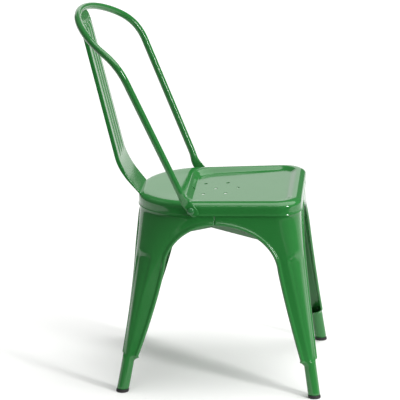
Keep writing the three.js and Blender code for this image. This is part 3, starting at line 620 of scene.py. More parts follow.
def moulded_rubber(name, colour):
    """Moulded natural rubber with carbon black: nearly matt, finely pitted, grey where it rubs the floor."""
    material, tree, place = new_material(name)
    height = add(tree, "ShaderNodeSeparateXYZ", {0: place}, out=2)
    low = add(tree, "ShaderNodeMapRange", {"Value": height, 1: 0.0, 2: 4 * MM, 3: 1.0, 4: 0.0})
    scuff = add(tree, "ShaderNodeTexNoise", {"Vector": place, "Scale": 1 / (2.5 * MM), "Detail": 4.0})
    worn = add(tree, "ShaderNodeMath", {0: low, 1: scuff}, operation="MULTIPLY")
    grey = [0.35 * c + 0.65 * g for c, g in zip(colour, linear("6C6A66"))]
    tone = add(tree, "ShaderNodeMix", {0: worn, 6: (*colour, 1), 7: (*grey, 1)}, out=2, data_type="RGBA")
    pits = add(tree, "ShaderNodeTexNoise", {"Vector": place, "Scale": 1 / (0.8 * MM), "Detail": 2.0})
    bump = add(tree, "ShaderNodeBump", {"Height": pits, "Distance": 0.06 * MM, "Strength": 0.7})
    shader = add(tree, "ShaderNodeBsdfPrincipled", {
        "Base Color": tone, "Roughness": 0.68, "Normal": bump, "IOR": 1.52})
    add(tree, "ShaderNodeOutputMaterial", {"Surface": shader})
    return material


def moulded_nylon(name, colour):
    """Injection-moulded nylon from a spark-eroded tool: an even, finely grained satin."""
    material, tree, place = new_material(name)
    grain = add(tree, "ShaderNodeTexVoronoi", {"Vector": place, "Scale": 1 / (0.7 * MM)})
    bump = add(tree, "ShaderNodeBump", {"Height": grain, "Distance": 0.04 * MM, "Strength": 0.6})
    cloud = add(tree, "ShaderNodeTexNoise", {"Vector": place, "Scale": 1 / (12 * MM)})
    dull = add(tree, "ShaderNodeMapRange", {"Value": cloud, 1: NOISE_LOW, 2: NOISE_HIGH, 3: 0.42, 4: 0.55})
    shader = add(tree, "ShaderNodeBsdfPrincipled", {
        "Base Color": (*colour, 1), "Roughness": dull, "Normal": bump, "IOR": 1.53})
    add(tree, "ShaderNodeOutputMaterial", {"Surface": shader})
    return material


def zinc_plated_steel(name, colour):
    """Turned steel with a bright zinc plating: fine machining rings under a slightly clouded metal."""
    material, tree, place = new_material(name)
    rings = add(tree, "ShaderNodeTexNoise", {"Vector": place, "Scale": 1 / (0.9 * MM), "Detail": 3.0})
    bump = add(tree, "ShaderNodeBump", {"Height": rings, "Distance": 0.03 * MM, "Strength": 0.5})
    cloud = add(tree, "ShaderNodeTexNoise", {"Vector": place, "Scale": 1 / (4 * MM)})
    dull = add(tree, "ShaderNodeMapRange", {"Value": cloud, 1: NOISE_LOW, 2: NOISE_HIGH, 3: 0.28, 4: 0.42})
    shader = add(tree, "ShaderNodeBsdfPrincipled", {
        "Base Color": (*colour, 1), "Metallic": 1.0, "Roughness": dull, "Normal": bump})
    add(tree, "ShaderNodeOutputMaterial", {"Surface": shader})
    return material


def studio_white(name):
    """Matt white card."""
    material, tree, place = new_material(name)
    fibres = add(tree, "ShaderNodeTexNoise", {"Vector": place, "Scale": 1 / (5 * MM)})
    bump = add(tree, "ShaderNodeBump", {"Height": fibres, "Distance": 0.02 * MM, "Strength": 0.2})
    shader = add(tree, "ShaderNodeBsdfPrincipled", {
        "Base Color": (*linear("F4F4F3"), 1), "Roughness": 0.9, "Specular IOR Level": 0.1, "Normal": bump})
    add(tree, "ShaderNodeOutputMaterial", {"Surface": shader})
    return material


def studio_cloth(name):
    """Dark cotton cloth that gives back next to no light."""
    material, tree, place = new_material(name)
    weave = add(tree, "ShaderNodeTexNoise", {"Vector": place, "Scale": 1 / (2 * MM)})
    tone = add(tree, "ShaderNodeMix", {0: weave, 6: (*linear("1E2420"), 1), 7: (*linear("2C342F"), 1)}, out=2,
               data_type="RGBA")
    shader = add(tree, "ShaderNodeBsdfPrincipled", {
        "Base Color": tone, "Roughness": 1.0, "Specular IOR Level": 0.0})
    add(tree, "ShaderNodeOutputMaterial", {"Surface": shader})
    return material


def paint():
    return bpy.data.materials.get("gloss_powder_coat") or gloss_powder_coat(
        "gloss_powder_coat", settings().finish.paint)


# ---- seat pan ----

def taper_at(y):
    return 1 - TAPER * y


def seat_outline(plan, inset, corner_steps=26, straight_steps=7):
    """Closed outline of a rounded rectangle, counter-clockwise from above, narrowed rearwards."""
    corners = [
        (plan.half, plan.rear, plan.rear_radius, 1, 1),
        (-plan.half, plan.rear, plan.rear_radius, -1, 1),
        (-plan.half, plan.front, plan.front_radius, -1, -1),
        (plan.half, plan.front, plan.front_radius, 1, -1),
    ]
    arcs = []
    for quarter, (x, y, radius, sx, sy) in enumerate(corners):
        radius = max(radius - inset, 2 * MM)
        centre = Vector((x - sx * (inset + radius), y - sy * (inset + radius)))
        turns = [(quarter + i / corner_steps) * math.pi / 2 for i in range(corner_steps + 1)]
        arcs.append([centre + Vector((math.cos(a), math.sin(a))) * radius for a in turns])
    outline = []
    for i, arc in enumerate(arcs):
        following = arcs[(i + 1) % 4][0]
        outline += arc
        outline += [arc[-1].lerp(following, k / straight_steps) for k in range(1, straight_steps)]
    return [Vector((p.x * taper_at(p.y), p.y)) for p in outline]


def dish_depth_at(seat, y):
    return lerp(seat.dish_front, seat.dish_depth, (y - DISH.front) / (DISH.rear - DISH.front))


def seat_rings(seat):
    """The seat's outer face as rings, from the skirt's hem over the rim and down into the dish."""
    plan = Plan(seat.half, seat.front, seat.rear, seat.front_radius, seat.rear_radius)
    rings = []

    def ring(shape, inset, drop, sunk=0):
        outline = seat_outline(shape, inset)
        rings.append([Vector((p.x, p.y, seat.rim - RIM_SLOPE * p.y - drop - sunk * dish_depth_at(seat, p.y)))
                      for p in outline])

    hem_high, hem_flat = 2.6 * MM, 1.4
    for t in (0, 0.25, 0.5, 0.75, 1):
        ring(plan, -seat.hem * smooth(hem_flat * (1 - t)), seat.skirt - hem_high * t)
    for t in (0.3, 0.65):
        ring(plan, 0, lerp(seat.skirt - hem_high, seat.edge_high, t))
    edge_steps = 12
    for i in range(edge_steps + 1):
        angle = i / edge_steps * math.pi / 2
        ring(plan, seat.edge_wide * (1 - math.cos(angle)), seat.edge_high * (1 - math.sin(angle)))
    wall_steps = 12
    for i in range(wall_steps + 1):
        t = i / wall_steps
        ring(DISH, seat.dish_wall * t, 0, smooth(t))
    for extra in (10 * MM, 20 * MM, 31 * MM):
        ring(DISH, seat.dish_wall + extra, 0, 1)
    middle_y = -100 * MM
    middle = Vector((0, middle_y, seat.rim - RIM_SLOPE * middle_y - dish_depth_at(seat, middle_y)))
    rings += [[p.lerp(middle, t) for p in rings[-1]] for t in (0.35, 0.7, 1)]
    return rings


def drain_places(seat):
    """Three rows of two, three and two holes."""
    pitch, row_pitch, middle = 51 * MM, 44 * MM, -36 * MM
    places = []
    for row, count in ((1, 2), (0, 3), (-1, 2)):
        for i in range(count):
            y = middle + (i - (count - 1) / 2) * pitch + shift_y()
            places.append(Place((row * row_pitch, y, seat.rim - seat.dish_depth)))
    return places


def bolt_centre():
    """Where the left bolt's axis crosses the skirt."""
    return Vector((settings().seat.half, (BOLT_LOW.y + BOLT_HIGH.y) / 2, (BOLT_LOW.z + BOLT_HIGH.z) / 2))


def cutter(name, radius, height, sides=32):
    """An upright rod, centred on the origin, that a hole is cut with."""
    return skin(name, [circle(radius, z, sides) for z in (-height / 2, height / 2)], around=True, ends=True)


class CHAIR_OT_seat_pan(bpy.types.Operator):
    """Presses the dished seat with its rolled skirt, drain holes and bolt holes"""
    bl_idname = "chair.seat_pan"
    bl_label = "Seat Pan"

    def execute(self, context):
        seat = settings().seat
        shell = into_frame(tidy_mesh(skin("seat_shell", seat_rings(seat), around=True)))
        solidify(shell, settings().pressing.sheet)
        drains = place_points("drain_places", drain_places(seat))
        drain_cut, bolt_cut = 30 * MM, 20 * MM
        shell = punch(shell, cutter("drain_cutter", seat.drain_radius, drain_cut), drains, paint())
        centre = bolt_centre()
        bolts = place_points("bolt_places", [
            Place((side * centre.x, centre.y, centre.z), (0, math.pi / 2, 0)) for side in HANDS.values()])
        shell = punch(shell, cutter("bolt_cutter", BOLT_HOLE, bolt_cut), bolts, paint())
        finish_piece(shell, paint(), "powder_coat", "seat_pan")
        return {"FINISHED"}


# ---- legs ----

def splay_at(z, bow):
    return clamp((LAP_TOP - z) / LAP_TOP, 0, 1) ** bow


def lap_x():
    """Where the legs' side faces lie under the skirt."""
    return settings().seat.half - settings().pressing.sheet - LAP_GAP


def leg_planes(leg, shape, z):
    """Distances of a leg's two outer faces from the chair's middle at height z."""
    x = lerp(lap_x(), leg.foot_x, splay_at(z, shape.bow_x))
    return x, leg.top_y + leg.splay * splay_at(z, shape.bow_y)


def leg_point(shape, x, y, z):
    """The plan's taper and the seat's slope fade out down the leg, so that the foot stays round and level."""
    fade = smooth((z - CURL_TOP) / (LAP_TOP - CURL_TOP))
    depth = -shape.side * y
    return Vector((x * (1 - TAPER * depth * fade), depth, z - RIM_SLOPE * depth * fade))


def flange_edge(leg, shape, spring_h, middle, s):
    """One flange's edge: its distance from the corner, its height and the direction into the sheet.

    s runs from 0 at the arch's top to 1 where the arch ends, and to 2 at the foot.
    """
    if s <= 1:
        angle = s * math.pi / 2
        a = middle - spring_h
        b = settings().pressing.apex - leg.spring
        into = Vector((-math.sin(angle) / a, math.cos(angle) / b)).normalized()
        return middle - a * math.sin(angle), leg.spring + b * math.cos(angle), into
    z = lerp(leg.spring, FOOT_END, s - 1)
    t = clamp((leg.spring - z) / (leg.spring - CURL_TOP), 0, 1)
    return lerp(spring_h, shape.low, t ** RISE_POWER), z, Vector((-1, 0))


def bead_at(distance, z):
    """Rounded bump along a flange's edge."""
    sizes = settings().pressing
    across = clamp(distance / sizes.bead_width, 0, 1)
    return sizes.bead * math.sin(math.pi * across) * smooth((z - CURL_BOTTOM) / (CURL_TOP - CURL_BOTTOM))


def flute_at(distance, z):
    """How deep the corner's flute is at a distance round the face from the corner's middle."""
    half = lerp(FLUTE_HALF_BOTTOM, FLUTE_HALF_TOP, (z - FLUTE_BOTTOM) / (FLUTE_TOP - FLUTE_BOTTOM))
    ends = clamp(min(FLUTE_TOP - z, z - FLUTE_BOTTOM) / FLUTE_END, 0, 1)
    half *= math.sqrt(1 - (1 - ends) ** 2)
    return settings().pressing.flute * smooth((half - abs(distance)) / FLUTE_SIDE) * smooth(2 * ends)


def flange_band(edge, s):
    """Points in from one flange's edge, as (distance from the corner, height, how far out)."""
    h, z, into = edge
    bead_steps, flat_steps = 8, 5
    bead, width = settings().pressing.bead_width, lerp(APRON_TOP, APRON_LEG, smooth(s))
    steps = [bead * i / bead_steps for i in range(bead_steps + 1)]
    steps += [lerp(bead, width, (i + 1) / flat_steps) for i in range(flat_steps)]
    return [(h + into.x * d, z + into.y * d, bead_at(d, z)) for d in steps]


def corner_radius(leg, shape, z):
    t = clamp((z - CURL_TOP) / (LAP_TOP - CURL_TOP), 0, 1)
    return lerp(settings().pressing.foot_radius, leg.corner, t ** shape.corner_power)


def rolled(point, corner, roll, flange):
    """Where a flange point lies: along from the other face's plane and deep behind its own plane."""
    h, _, out = point
    if h < corner:
        short = corner - h
        return h, corner - math.sqrt(corner * corner - short * short) - out
    if roll <= 0:
        return h, -out
    radius = settings().pressing.foot_radius
    full = 0.75 * math.pi * radius - ROLL_SEAM / 2
    curve = roll / radius
    arc = (h - corner) * lerp(1, full / flange, roll)
    return corner + math.sin(arc * curve) / curve, (1 - math.cos(arc * curve)) / curve - out


def corner_points(leg, shape, corner, side_end, end_end, steps=30, flat_share=0.15):
    """Points between the two bands, round the corner: its flats and its arc share them."""
    start = math.asin(clamp((corner - side_end[0]) / corner, 0, 1))
    stop = math.acos(clamp((corner - end_end[0]) / corner, 0, 1))
    flats = [max(side_end[0] - corner, 0), max(end_end[0] - corner, 0)]
    total = flats[0] + (stop - start) * corner + flats[1]
    share = [min(flat_share, flat / total) for flat in flats]
    points = []
    for i in range(1, steps):
        t = i / steps
        angle = lerp(start, stop, clamp((t - share[0]) / (1 - share[0] - share[1]), 0, 1))
        side_run = flats[0] * (1 - t / share[0]) if t < share[0] else 0
        end_run = flats[1] * (1 - (1 - t) / share[1]) if 1 - t < share[1] else 0
        z = lerp(side_end[1], end_end[1], t)
        plane_x, plane_y = leg_planes(leg, shape, z)
        reach = corner - flute_at((angle - math.pi / 4) * corner - side_run + end_run, z)
        x = plane_x - corner + reach * math.cos(angle) - end_run
        y = plane_y - corner + reach * math.sin(angle) - side_run
        points.append(leg_point(shape, x, y, z))
    return points


def seam_pull(h, middle):
    """Share of a face's splay that a flange takes back, so that two legs meet in a straight seam."""
    return clamp(h / middle, 0, 1) ** 4


def leg_row(leg, shape, s):
    """One row of a leg's outer face, from the side flange's edge round the corner to the end flange's."""
    side_middle, end_middle = leg.top_y + shape.side * ARCH_Y, lap_x()
    side_edge = flange_edge(leg, shape, shape.side_flange, side_middle, s)
    end_edge = flange_edge(leg, shape, shape.end_flange, end_middle, s)
    side, end = flange_band(side_edge, s), flange_band(end_edge, s)
    corner = corner_radius(leg, shape, side[-1][1])
    roll = smooth((CURL_TOP - side_edge[1]) / (CURL_TOP - CURL_BOTTOM))
    row = []
    for point in side:
        along, deep = rolled(point, corner, roll, side_edge[0] - corner)
        plane_x, plane_y = leg_planes(leg, shape, point[1])
        pull = (plane_y - leg.top_y) * seam_pull(point[0], side_middle)
        row.append(leg_point(shape, plane_x - deep, plane_y - along - pull, point[1]))
    row += corner_points(leg, shape, corner, side[-1], end[-1])
    for point in reversed(end):
        along, deep = rolled(point, corner, roll, end_edge[0] - corner)
        plane_x, plane_y = leg_planes(leg, shape, point[1])
        pull = (plane_x - end_middle) * seam_pull(point[0], end_middle)
        row.append(leg_point(shape, plane_x - along - pull, plane_y - deep, point[1]))
    return row


def leg_rows(leg, shape):
    """Rows down the whole leg, closer together where the section rolls up into the foot."""
    arch_steps, fall_steps, curl_steps, foot_steps = 26, 26, 22, 6
    curl_start = 1 + (leg.spring - CURL_TOP - FLUTE_END) / (leg.spring - FOOT_END)
    curl_end = 1 + (leg.spring - CURL_BOTTOM + 2 * MM) / (leg.spring - FOOT_END)
    places = [i / arch_steps for i in range(arch_steps)]
    places += [lerp(1, curl_start, i / fall_steps) for i in range(fall_steps)]
    places += [lerp(curl_start, curl_end, i / curl_steps) for i in range(curl_steps)]
    places += [lerp(curl_end, 2, i / foot_steps) for i in range(foot_steps + 1)]
    return [leg_row(leg, shape, s) for s in places]


class CHAIR_OT_legs(bpy.types.Operator):
    """Presses the four legs with their arches, edge beads, corner flutes and rolled feet"""
    bl_idname = "chair.legs"
    bl_label = "Legs"

    def execute(self, context):
        for end in ENDS:
            shape = LEG_SHAPES[end]
            rows = leg_rows(getattr(settings(), end), shape)
            for hand, side in HANDS.items():
                mirror = [[Vector((side * p.x, p.y, p.z)) for p in row] for row in rows]
                if side * shape.side < 0:
                    mirror = [row[::-1] for row in mirror]
                leg = into_frame(skin(f"leg_panel_{end}_{hand}", mirror))
                solidify(leg, settings().pressing.sheet)
                subdivide(leg)
                finish_piece(leg, paint(), "powder_coat", f"leg_{end}_{hand}")
        return {"FINISHED"}


# ---- glides ----

def foot_centre(end, z):
    """Centre of the left leg's rolled foot at height z."""
    leg, shape = getattr(settings(), end), LEG_SHAPES[end]
    x, y = leg_planes(leg, shape, z)
    radius = settings().pressing.foot_radius
    return Vector((x - radius, -shape.side * (y - radius), z))


def glide_pattern():
    """A turned rubber foot: a shallow ring under a rounded collar, and a barbed stem inside the leg."""
    profile = [
        (0, 1.2), (7, 1.2), (8.2, 0.9), (9, 0), (12.6, 0), (13.6, 0.4), (14.2, 1.2), (14.4, 2.4), (14.4, 5.6),
        (14.2, 6.6), (13.6, 7.3), (12.8, 7.5), (11.6, 7.6), (11.4, 9), (11.9, 11), (11.2, 14), (11.8, 17),
        (11.1, 20), (11.6, 23), (11, 26), (11, 31), (10.2, 33.2), (8.4, 34), (0, 34),
    ]
    return lathe("glide_pattern", [(r * MM, z * MM) for r, z in profile], sides=56)


class CHAIR_OT_glides(bpy.types.Operator):
    """Fits a moulded rubber glide into each foot"""
    bl_idname = "chair.glides"
    bl_label = "Glides"

    def execute(self, context):
        places = []
        for end in ENDS:
            low, high = foot_centre(end, 0), foot_centre(end, GLIDE_HIGH)
            lean = (high - low) / (high.z - low.z)
            for side in HANDS.values():
                places.append(Place((side * low.x, low.y + shift_y(), 0), lean=(side * lean.x, lean.y, 0)))
        rubber = moulded_rubber("moulded_rubber", settings().finish.rubber)
        glides = set_out("rubber_glides", glide_pattern(), places, rubber)
        finish_piece(glides, rubber, "rubber", *[f"glide_{end}_{hand}" for end in ENDS for hand in HANDS])
        return {"FINISHED"}


# ---- back ----

def hoop_route():
    """Points along the hoop's centre line, from the left tip over the crown to the right tip."""
    rise = (HOOP_SHOULDER - HOOP_LOWER).normalized()
    tab_rise = (HOOP_TAB_TOP - HOOP_TIP).normalized()
    before = HOOP_SHOULDER - rise * HOOP_BEND
    after = HOOP_SHOULDER + HOOP_ARCH * HOOP_BEND
    crown_arm = Vector((HOOP_CROWN_REACH, HOOP_CROWN.y, HOOP_CROWN.z))
    left = trace([
        ([HOOP_TIP, HOOP_TAB_TOP], 26),
        ([HOOP_TAB_TOP, HOOP_TAB_TOP + tab_rise * TAB_REACH, HOOP_LOWER - rise * TAB_REACH, HOOP_LOWER], 14),
        ([HOOP_LOWER, before], 24),
        ([before, HOOP_SHOULDER, after], 30),
        ([after, after + HOOP_ARCH * HOOP_ARCH_REACH, crown_arm, HOOP_CROWN], 50),
    ])
    return left + [Vector((-p.x, p.y, p.z)) for p in reversed(left[:-1])]


def line_object(name, points):
    """A curve object of one straight-stepped line."""
    curve = bpy.data.curves.new(name, "CURVE")
    curve.dimensions = "3D"
    spline = curve.splines.new("POLY")
    spline.points.add(len(points) - 1)
    for target, point in zip(spline.points, points):
        target.co = (*point, 1)
    return add_object(name, curve)


class CHAIR_OT_back_hoop(bpy.types.Operator):
    """Bends the back tube and flattens its two ends"""
    bl_idname = "chair.back_hoop"
    bl_label = "Back Hoop"

    def execute(self, context):
        back = settings().back
        shift = Vector((0, shift_y(), 0))
        line = line_object("hoop_line", [p + shift for p in hoop_route()])
        run_tree(line, tube_tree(), radius=back.tube, sides=back.sides, tab_thick=back.tab_thick,
                 tab_wide=back.tab_wide, flat_end=TAB_FLAT_END, round_start=TAB_ROUND_START, material=paint())
        hoop = settle(line, "hoop_tube", crease=60)
        finish_piece(hoop, paint(), "powder_coat", "back_hoop")
        return {"FINISHED"}


def splat_sheet(back):
    """The splat's front face as a grid with its side flanges, and where each point is across and along it."""
    route = trace([(SPLAT_FOOT, 26), (SPLAT_MIDDLE, 40), (SPLAT_TOP, 12)])
    gone = [0]
    for a, b in zip(route, route[1:]):
        gone.append(gone[-1] + (b - a).length)
    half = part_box("back_splat")[1].x
    flat = half - SPLAT_BEND
    flat_steps, bend_steps = 44, 5
    rows, across, along = [], [], []
    for i, point in enumerate(route):
        u = gone[i] / gone[-1]
        run = (route[min(i + 1, len(route) - 1)] - route[max(i - 1, 0)]).normalized()
        forward = Vector((0, -run.z, run.y))
        flange = lerp(SPLAT_FOOT_FLANGE, back.flange, smooth(u / SPLAT_FLANGE_FULL))
        side = [(half, flange), (half, lerp(SPLAT_BEND, flange, 0.5))]
        for k in range(bend_steps):
            turn = k / bend_steps * math.pi / 2
            side.append((flat + SPLAT_BEND * math.cos(turn), SPLAT_BEND * (1 - math.sin(turn))))
        section = [(-x, deep) for x, deep in side]
        section += [(lerp(-flat, flat, k / flat_steps), 0) for k in range(flat_steps + 1)]
        section += side[::-1]
        sag = SPLAT_FOOT_SAG * smooth((SPLAT_FOOT_SHARE - u) / SPLAT_FOOT_SHARE)
        sag += SPLAT_TOP_SAG * smooth((u - 1 + SPLAT_TOP_SHARE) / SPLAT_TOP_SHARE)
        rows.append([Vector((x, 0, 0)) + point - forward * deep + sag * (x / half) ** 2
                     for x, deep in section])
        across += [x for x, _ in section]
        along += [u] * len(section)
    sheet = skin("splat_panel", rows)
    for label, values in (("across", across), ("along", along)):
        sheet.data.attributes.new(label, "FLOAT", "POINT").data.foreach_set("value", values)
    return into_frame(sheet)


class CHAIR_OT_back_splat(bpy.types.Operator):
    """Presses the back splat with its flanges and its three ribs"""
    bl_idname = "chair.back_splat"
    bl_label = "Back Splat"

    def execute(self, context):
        back = settings().back
        sheet = splat_sheet(back)
        run_tree(sheet, rib_tree(), pitch=back.rib_pitch, width=back.rib_width, height=back.rib_height,
                 start=RIB_START, end=RIB_END, fade=RIB_FADE, material=paint())
        splat = settle(sheet)
        for label in ("across", "along"):
            splat.data.attributes.remove(splat.data.attributes[label])
        solidify(splat, back.splat_sheet)
        subdivide(splat)
        finish_piece(splat, paint(), "powder_coat", "back_splat")
        return {"FINISHED"}


# ---- brace ----

BRACE_THICK, BRACE_PAD_WIDE, BRACE_PAD_THICK = 3 * MM, 34 * MM, 2 * MM
BRACE_FRONT, BRACE_REAR = Vector((158, -221)) * MM, Vector((112, 112)) * MM


def brace_ends(side):
    """Plan points where a strap starts at the front and finishes at the rear of the other side."""
    return Vector((side * BRACE_FRONT.x, BRACE_FRONT.y)), Vector((-side * BRACE_REAR.x, BRACE_REAR.y))


def brace_outline(side):
    """A strap seen from above: a bar with a plate across each end."""
    start, finish = brace_ends(side)
    run = (finish - start).normalized()
    across = Vector((-run.y, run.x))
    far = (finish - start).length
    bar, pad, plate = BRACE_THICK / 2, BRACE_PAD_WIDE / 2, BRACE_PAD_THICK / 2
    half = [(-plate, pad), (plate, pad), (plate, bar),
            (far - plate, bar), (far - plate, pad), (far + plate, pad)]
    outline = half + [(along, -off) for along, off in reversed(half)]
    return [start + run * along + across * off for along, off in outline]


class CHAIR_OT_braces(bpy.types.Operator):
    """Halves the two brace straps into each other under the seat"""
    bl_idname = "chair.braces"
    bl_label = "Braces"

    def execute(self, context):
        for hand, side in HANDS.items():
            low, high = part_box(f"brace_{hand}")
            height = high.z - low.z
            outline = [Vector((p.x, p.y + shift_y(), low.z)) for p in brace_outline(side)]
            strap = slab(f"brace_strap_{hand}", outline, Vector((0, 0, height)))
            start, finish = brace_ends(side)
            run = finish - start
            cross_y = start.y - run.y * start.x / run.x + shift_y()
            cross_z = (low.z + high.z) / 2 + side * height / 4
            wide, long, deep = BRACE_THICK / 2 + CLEAR, 20 * MM, height / 2 + CLEAR
            notch = slab("notch_cutter", [
                (-wide, -long, -deep / 2), (wide, -long, -deep / 2), (wide, long, -deep / 2),
                (-wide, long, -deep / 2),
            ], Vector((0, 0, deep)))
            turn = math.pi / 2 - math.atan2(run.y, run.x)
            places = place_points("notch_places", [Place((0, cross_y, cross_z), (0, 0, turn))])
            strap = punch(strap, notch, places, paint())
            bevel(strap, 0.5 * MM)
            strap = settle(strap)
            finish_piece(strap, paint(), "powder_coat", f"brace_{hand}")
        return {"FINISHED"}


def cap_pattern():
    """A clip of U section that lies along X and opens upwards."""
    long, wide, high, wall = 26 * MM, 9 * MM, 11 * MM, 3 * MM
    slot = BRACE_THICK / 2 + CLEAR
    outline = [(-wide / 2, 0), (wide / 2, 0), (wide / 2, high), (slot, high), (slot, wall - CLEAR),
               (-slot, wall - CLEAR), (-slot, high), (-wide / 2, high)]
    clip = slab("cap_pattern", [(-long / 2, y, z) for y, z in outline], Vector((long, 0, 0)))
    bevel(clip, 1.0 * MM, 3)
    return clip


class CHAIR_OT_brace_caps(bpy.types.Operator):
    """Clips a plastic cap over each arm of the brace, for the seat below it in a stack"""
    bl_idname = "chair.brace_caps"
    bl_label = "Brace Caps"

    def execute(self, context):
        places = []
        for end in ENDS:
            for hand, side in HANDS.items():
                low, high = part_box(f"brace_cap_{end}_{hand}")
                start, finish = brace_ends(side if end == "front" else -side)
                run = finish - start
                middle = (low + high) / 2
                places.append(Place((middle.x, middle.y, low.z), (0, 0, math.atan2(run.y, run.x))))
        nylon = moulded_nylon("moulded_nylon", settings().finish.plastic)
        caps = set_out("brace_caps", settle(cap_pattern()), places, nylon)
        finish_piece(caps, nylon, "plastic", *[f"brace_cap_{end}_{hand}" for end in ENDS for hand in HANDS])
        return {"FINISHED"}


# ---- bolts ----

def outward_places(node):
    """Places on both sides for a piece drawn along +Z, with its foot on the node's inner face."""
    low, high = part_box(f"{node}_left")
    middle = (low + high) / 2
    return [Place((side * low.x, middle.y, middle.z), (0, side * math.pi / 2, 0)) for side in HANDS.values()]


def bolt_pattern():
    """A round-headed bolt with a chamfered end, drawn along +Z."""
    shank, head, head_high, chamfer, edge = 3 * MM, 8.6 * MM, 4.6 * MM, 0.5 * MM, 0.4 * MM
    seat = BOLT_HIGH.x - BOLT_LOW.x - head_high
    profile = [(0, 0), (shank - chamfer, 0), (shank, chamfer)]
    thread_start, thread_turns, pitch, depth = 0.8 * MM, 8, 1.25 * MM, 0.3 * MM
    for i in range(thread_turns):
        z = thread_start + i * pitch
        profile += [(shank, z), (shank - depth, z + pitch / 2)]
    profile += [(shank, thread_start + thread_turns * pitch), (shank, seat), (head - 0.3 * MM, seat)]
    dome_steps = 12
    for i in range(dome_steps + 1):
        turn = i / dome_steps * math.pi / 2
        profile.append((head * math.cos(turn), seat + edge + (head_high - edge) * math.sin(turn)))
    return lathe("bolt_pattern", profile, sides=40)


def washer_pattern():
    """A plain washer with softened edges, drawn along +Z."""
    hole, radius, thick, soft = BOLT_HOLE, 6.7 * MM, 1 * MM, 0.2 * MM
    profile = [(hole, soft), (hole + soft, 0), (radius - soft, 0), (radius, soft), (radius, thick - soft),
               (radius - soft, thick), (hole + soft, thick), (hole, thick - soft), (hole, soft)]
    return lathe("washer_pattern", profile, sides=40)


def nut_pattern():
    """A hexagon nut with turned corners and an open bore, drawn along +Z."""
    flat, thick, chamfer, steps = 5 * MM, 4 * MM, 0.5 * MM, 72
    rows = []
    for radius, z in ((BOLT_HOLE, 0), (flat, 0), (None, chamfer), (None, thick - chamfer), (flat, thick),
                      (BOLT_HOLE, thick), (BOLT_HOLE, 0)):
        row = []
        for i in range(steps):
            turn = 2 * math.pi * i / steps
            from_flat = (turn + math.pi / 6) % (math.pi / 3) - math.pi / 6
            reach = radius or flat / math.cos(from_flat)
            row.append((reach * math.cos(turn), reach * math.sin(turn), z))
        rows.append(row)
    return tidy_mesh(skin("nut_pattern", rows, around=True))


class CHAIR_OT_bolts(bpy.types.Operator):
    """Bolts the hoop's flattened ends to the seat, with a washer and a nut inside the skirt"""
    bl_idname = "chair.bolts"
    bl_label = "Bolts"

    def execute(self, context):
        finish = settings().finish
        bolt_paint = gloss_powder_coat("painted_bolt_head", finish.bolt)
        bolts = set_out("hoop_bolts", bolt_pattern(), outward_places("hoop_bolt"), bolt_paint)
        finish_piece(bolts, bolt_paint, "painted_bolt", "hoop_bolt_left", "hoop_bolt_right")
        zinc = zinc_plated_steel("zinc_plated_steel", finish.zinc)
        for name, pattern in (("washer", washer_pattern()), ("nut", nut_pattern())):
            pieces = set_out(f"hoop_{name}s", pattern, outward_places(f"hoop_{name}"), zinc)
            finish_piece(pieces, zinc, "zinc", f"hoop_{name}_left", f"hoop_{name}_right")
        return {"FINISHED"}


# ---- stage ----

def aim(obj, target):
    """Turns a lamp or a camera so that it looks at a point."""
    direction = Vector(target) - obj.location
    obj.rotation_euler = direction.to_track_quat("-Z", "Y").to_euler()


def soft_box(name, place, target, size, power):
    """A rectangular area light that looks at a point."""
    light = bpy.data.lights.new(name, "AREA")
    light.shape = "RECTANGLE"
    light.size, light.size_y = size
    light.energy = power
    lamp = add_object(name, light)
    lamp.location = place
    lamp.visible_camera = False
    aim(lamp, target)


def overhead_light(name, place, target, spread, strength):
    """A broad even light from far above."""
    light = bpy.data.lights.new(name, "SUN")
    light.angle = spread
    light.energy = strength
    lamp = add_object(name, light)
    lamp.location = place
    aim(lamp, target)


def sheet_on_floor(name, across, along, height):
    """A level rectangle, from its limits in X and in Y."""
    return skin(name, [[(x, y, height) for x in across] for y in along])


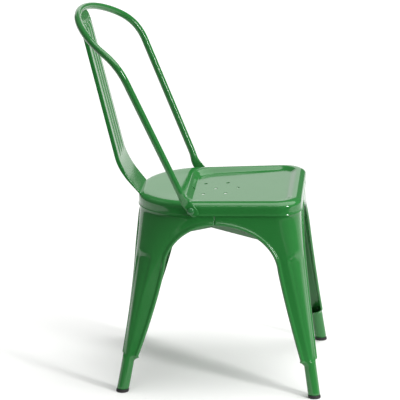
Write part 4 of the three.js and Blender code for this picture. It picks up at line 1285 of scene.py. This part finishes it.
class CHAIR_OT_stage(bpy.types.Operator):
    """Sets the pale floor, the soft studio light and the camera"""
    bl_idname = "chair.stage"
    bl_label = "Stage"

    def execute(self, context):
        stage = settings().stage
        reach = 30
        floor = sheet_on_floor("floor", (-reach, reach), (-reach, reach), 0)
        floor.data.materials.append(studio_white("studio_white"))
        # a dark cloth beside the chair, so that its side doesn't mirror the bright floor
        cloth = sheet_on_floor("dark_cloth", (-9, -0.9), (-6, 6), 2 * MM)
        cloth.data.materials.append(studio_cloth("studio_cloth"))
        cloth.visible_camera = False
        cloth.visible_shadow = False
        world = bpy.data.worlds.new("white_room")
        world.use_nodes = True
        world.node_tree.nodes.clear()
        sky = add(world.node_tree, "ShaderNodeBackground", {"Color": (1, 1, 1, 1), "Strength": stage.sky})
        add(world.node_tree, "ShaderNodeOutputWorld", {"Surface": sky})
        context.scene.world = world
        middle = Vector((0, shift_y(), stage.height))
        overhead_light("top_light", (0.4, -1.2, 4), middle, math.radians(70), stage.top_light)
        soft_box("front_soft_box", (-1.8, -2.4, 1.75), middle, (0.4, 1.2), stage.front_light)
        soft_box("strip_light", (-2.0, -0.3, 3.2), middle, (2.6, 0.15), stage.strip_light)
        soft_box("far_card", (5, 0.9, 1.2), middle, (3.0, 2.4), stage.far_card)
        camera_data = bpy.data.cameras.new("camera")
        camera_data.lens = stage.lens
        camera_data.clip_end = 100
        camera = add_object("camera", camera_data)
        level = math.cos(stage.elevation)
        back = Vector((math.sin(stage.azimuth) * level, -math.cos(stage.azimuth) * level,
                       math.sin(stage.elevation)))
        camera.location = middle + back * stage.distance
        aim(camera, middle)
        context.scene.camera = camera
        context.scene.view_settings.view_transform = "Standard"
        return {"FINISHED"}


STEPS = (CHAIR_OT_seat_pan, CHAIR_OT_legs, CHAIR_OT_glides, CHAIR_OT_back_hoop, CHAIR_OT_back_splat,
         CHAIR_OT_braces, CHAIR_OT_brace_caps, CHAIR_OT_bolts, CHAIR_OT_stage)


class CHAIR_PT_panel(bpy.types.Panel):
    """Lists the chair's sizes and the steps that build it"""
    bl_idname = "CHAIR_PT_panel"
    bl_label = "Stacking Chair"
    bl_space_type = "VIEW_3D"
    bl_region_type = "UI"
    bl_category = "Chair"

    def draw(self, context):
        for part in ("seat", "front", "rear", "pressing", "back", "finish", "stage"):
            box = self.layout.box()
            box.label(text=part.title())
            sizes = getattr(context.scene.stacking_chair, part)
            for name in sizes.bl_rna.properties.keys():
                if name not in ("rna_type", "name"):
                    box.prop(sizes, name)
        for step in STEPS:
            self.layout.operator(step.bl_idname)


CLASSES = (ChairSeatSizes, ChairFrontLegSizes, ChairRearLegSizes, ChairPressingSizes, ChairBackSizes,
           ChairFinish, ChairStage, ChairSettings, *STEPS, CHAIR_PT_panel)


def register():
    for cls in CLASSES:
        bpy.utils.register_class(cls)
    bpy.types.Scene.stacking_chair = PointerProperty(
        type=ChairSettings, name="Stacking chair", description="Sizes and colours of the chair")


def unregister():
    del bpy.types.Scene.stacking_chair
    for cls in reversed(CLASSES):
        bpy.utils.unregister_class(cls)


def main():
    register()
    for step in STEPS:
        family, name = step.bl_idname.split(".")
        getattr(getattr(bpy.ops, family), name)()


if __name__ == "__main__":
    main()
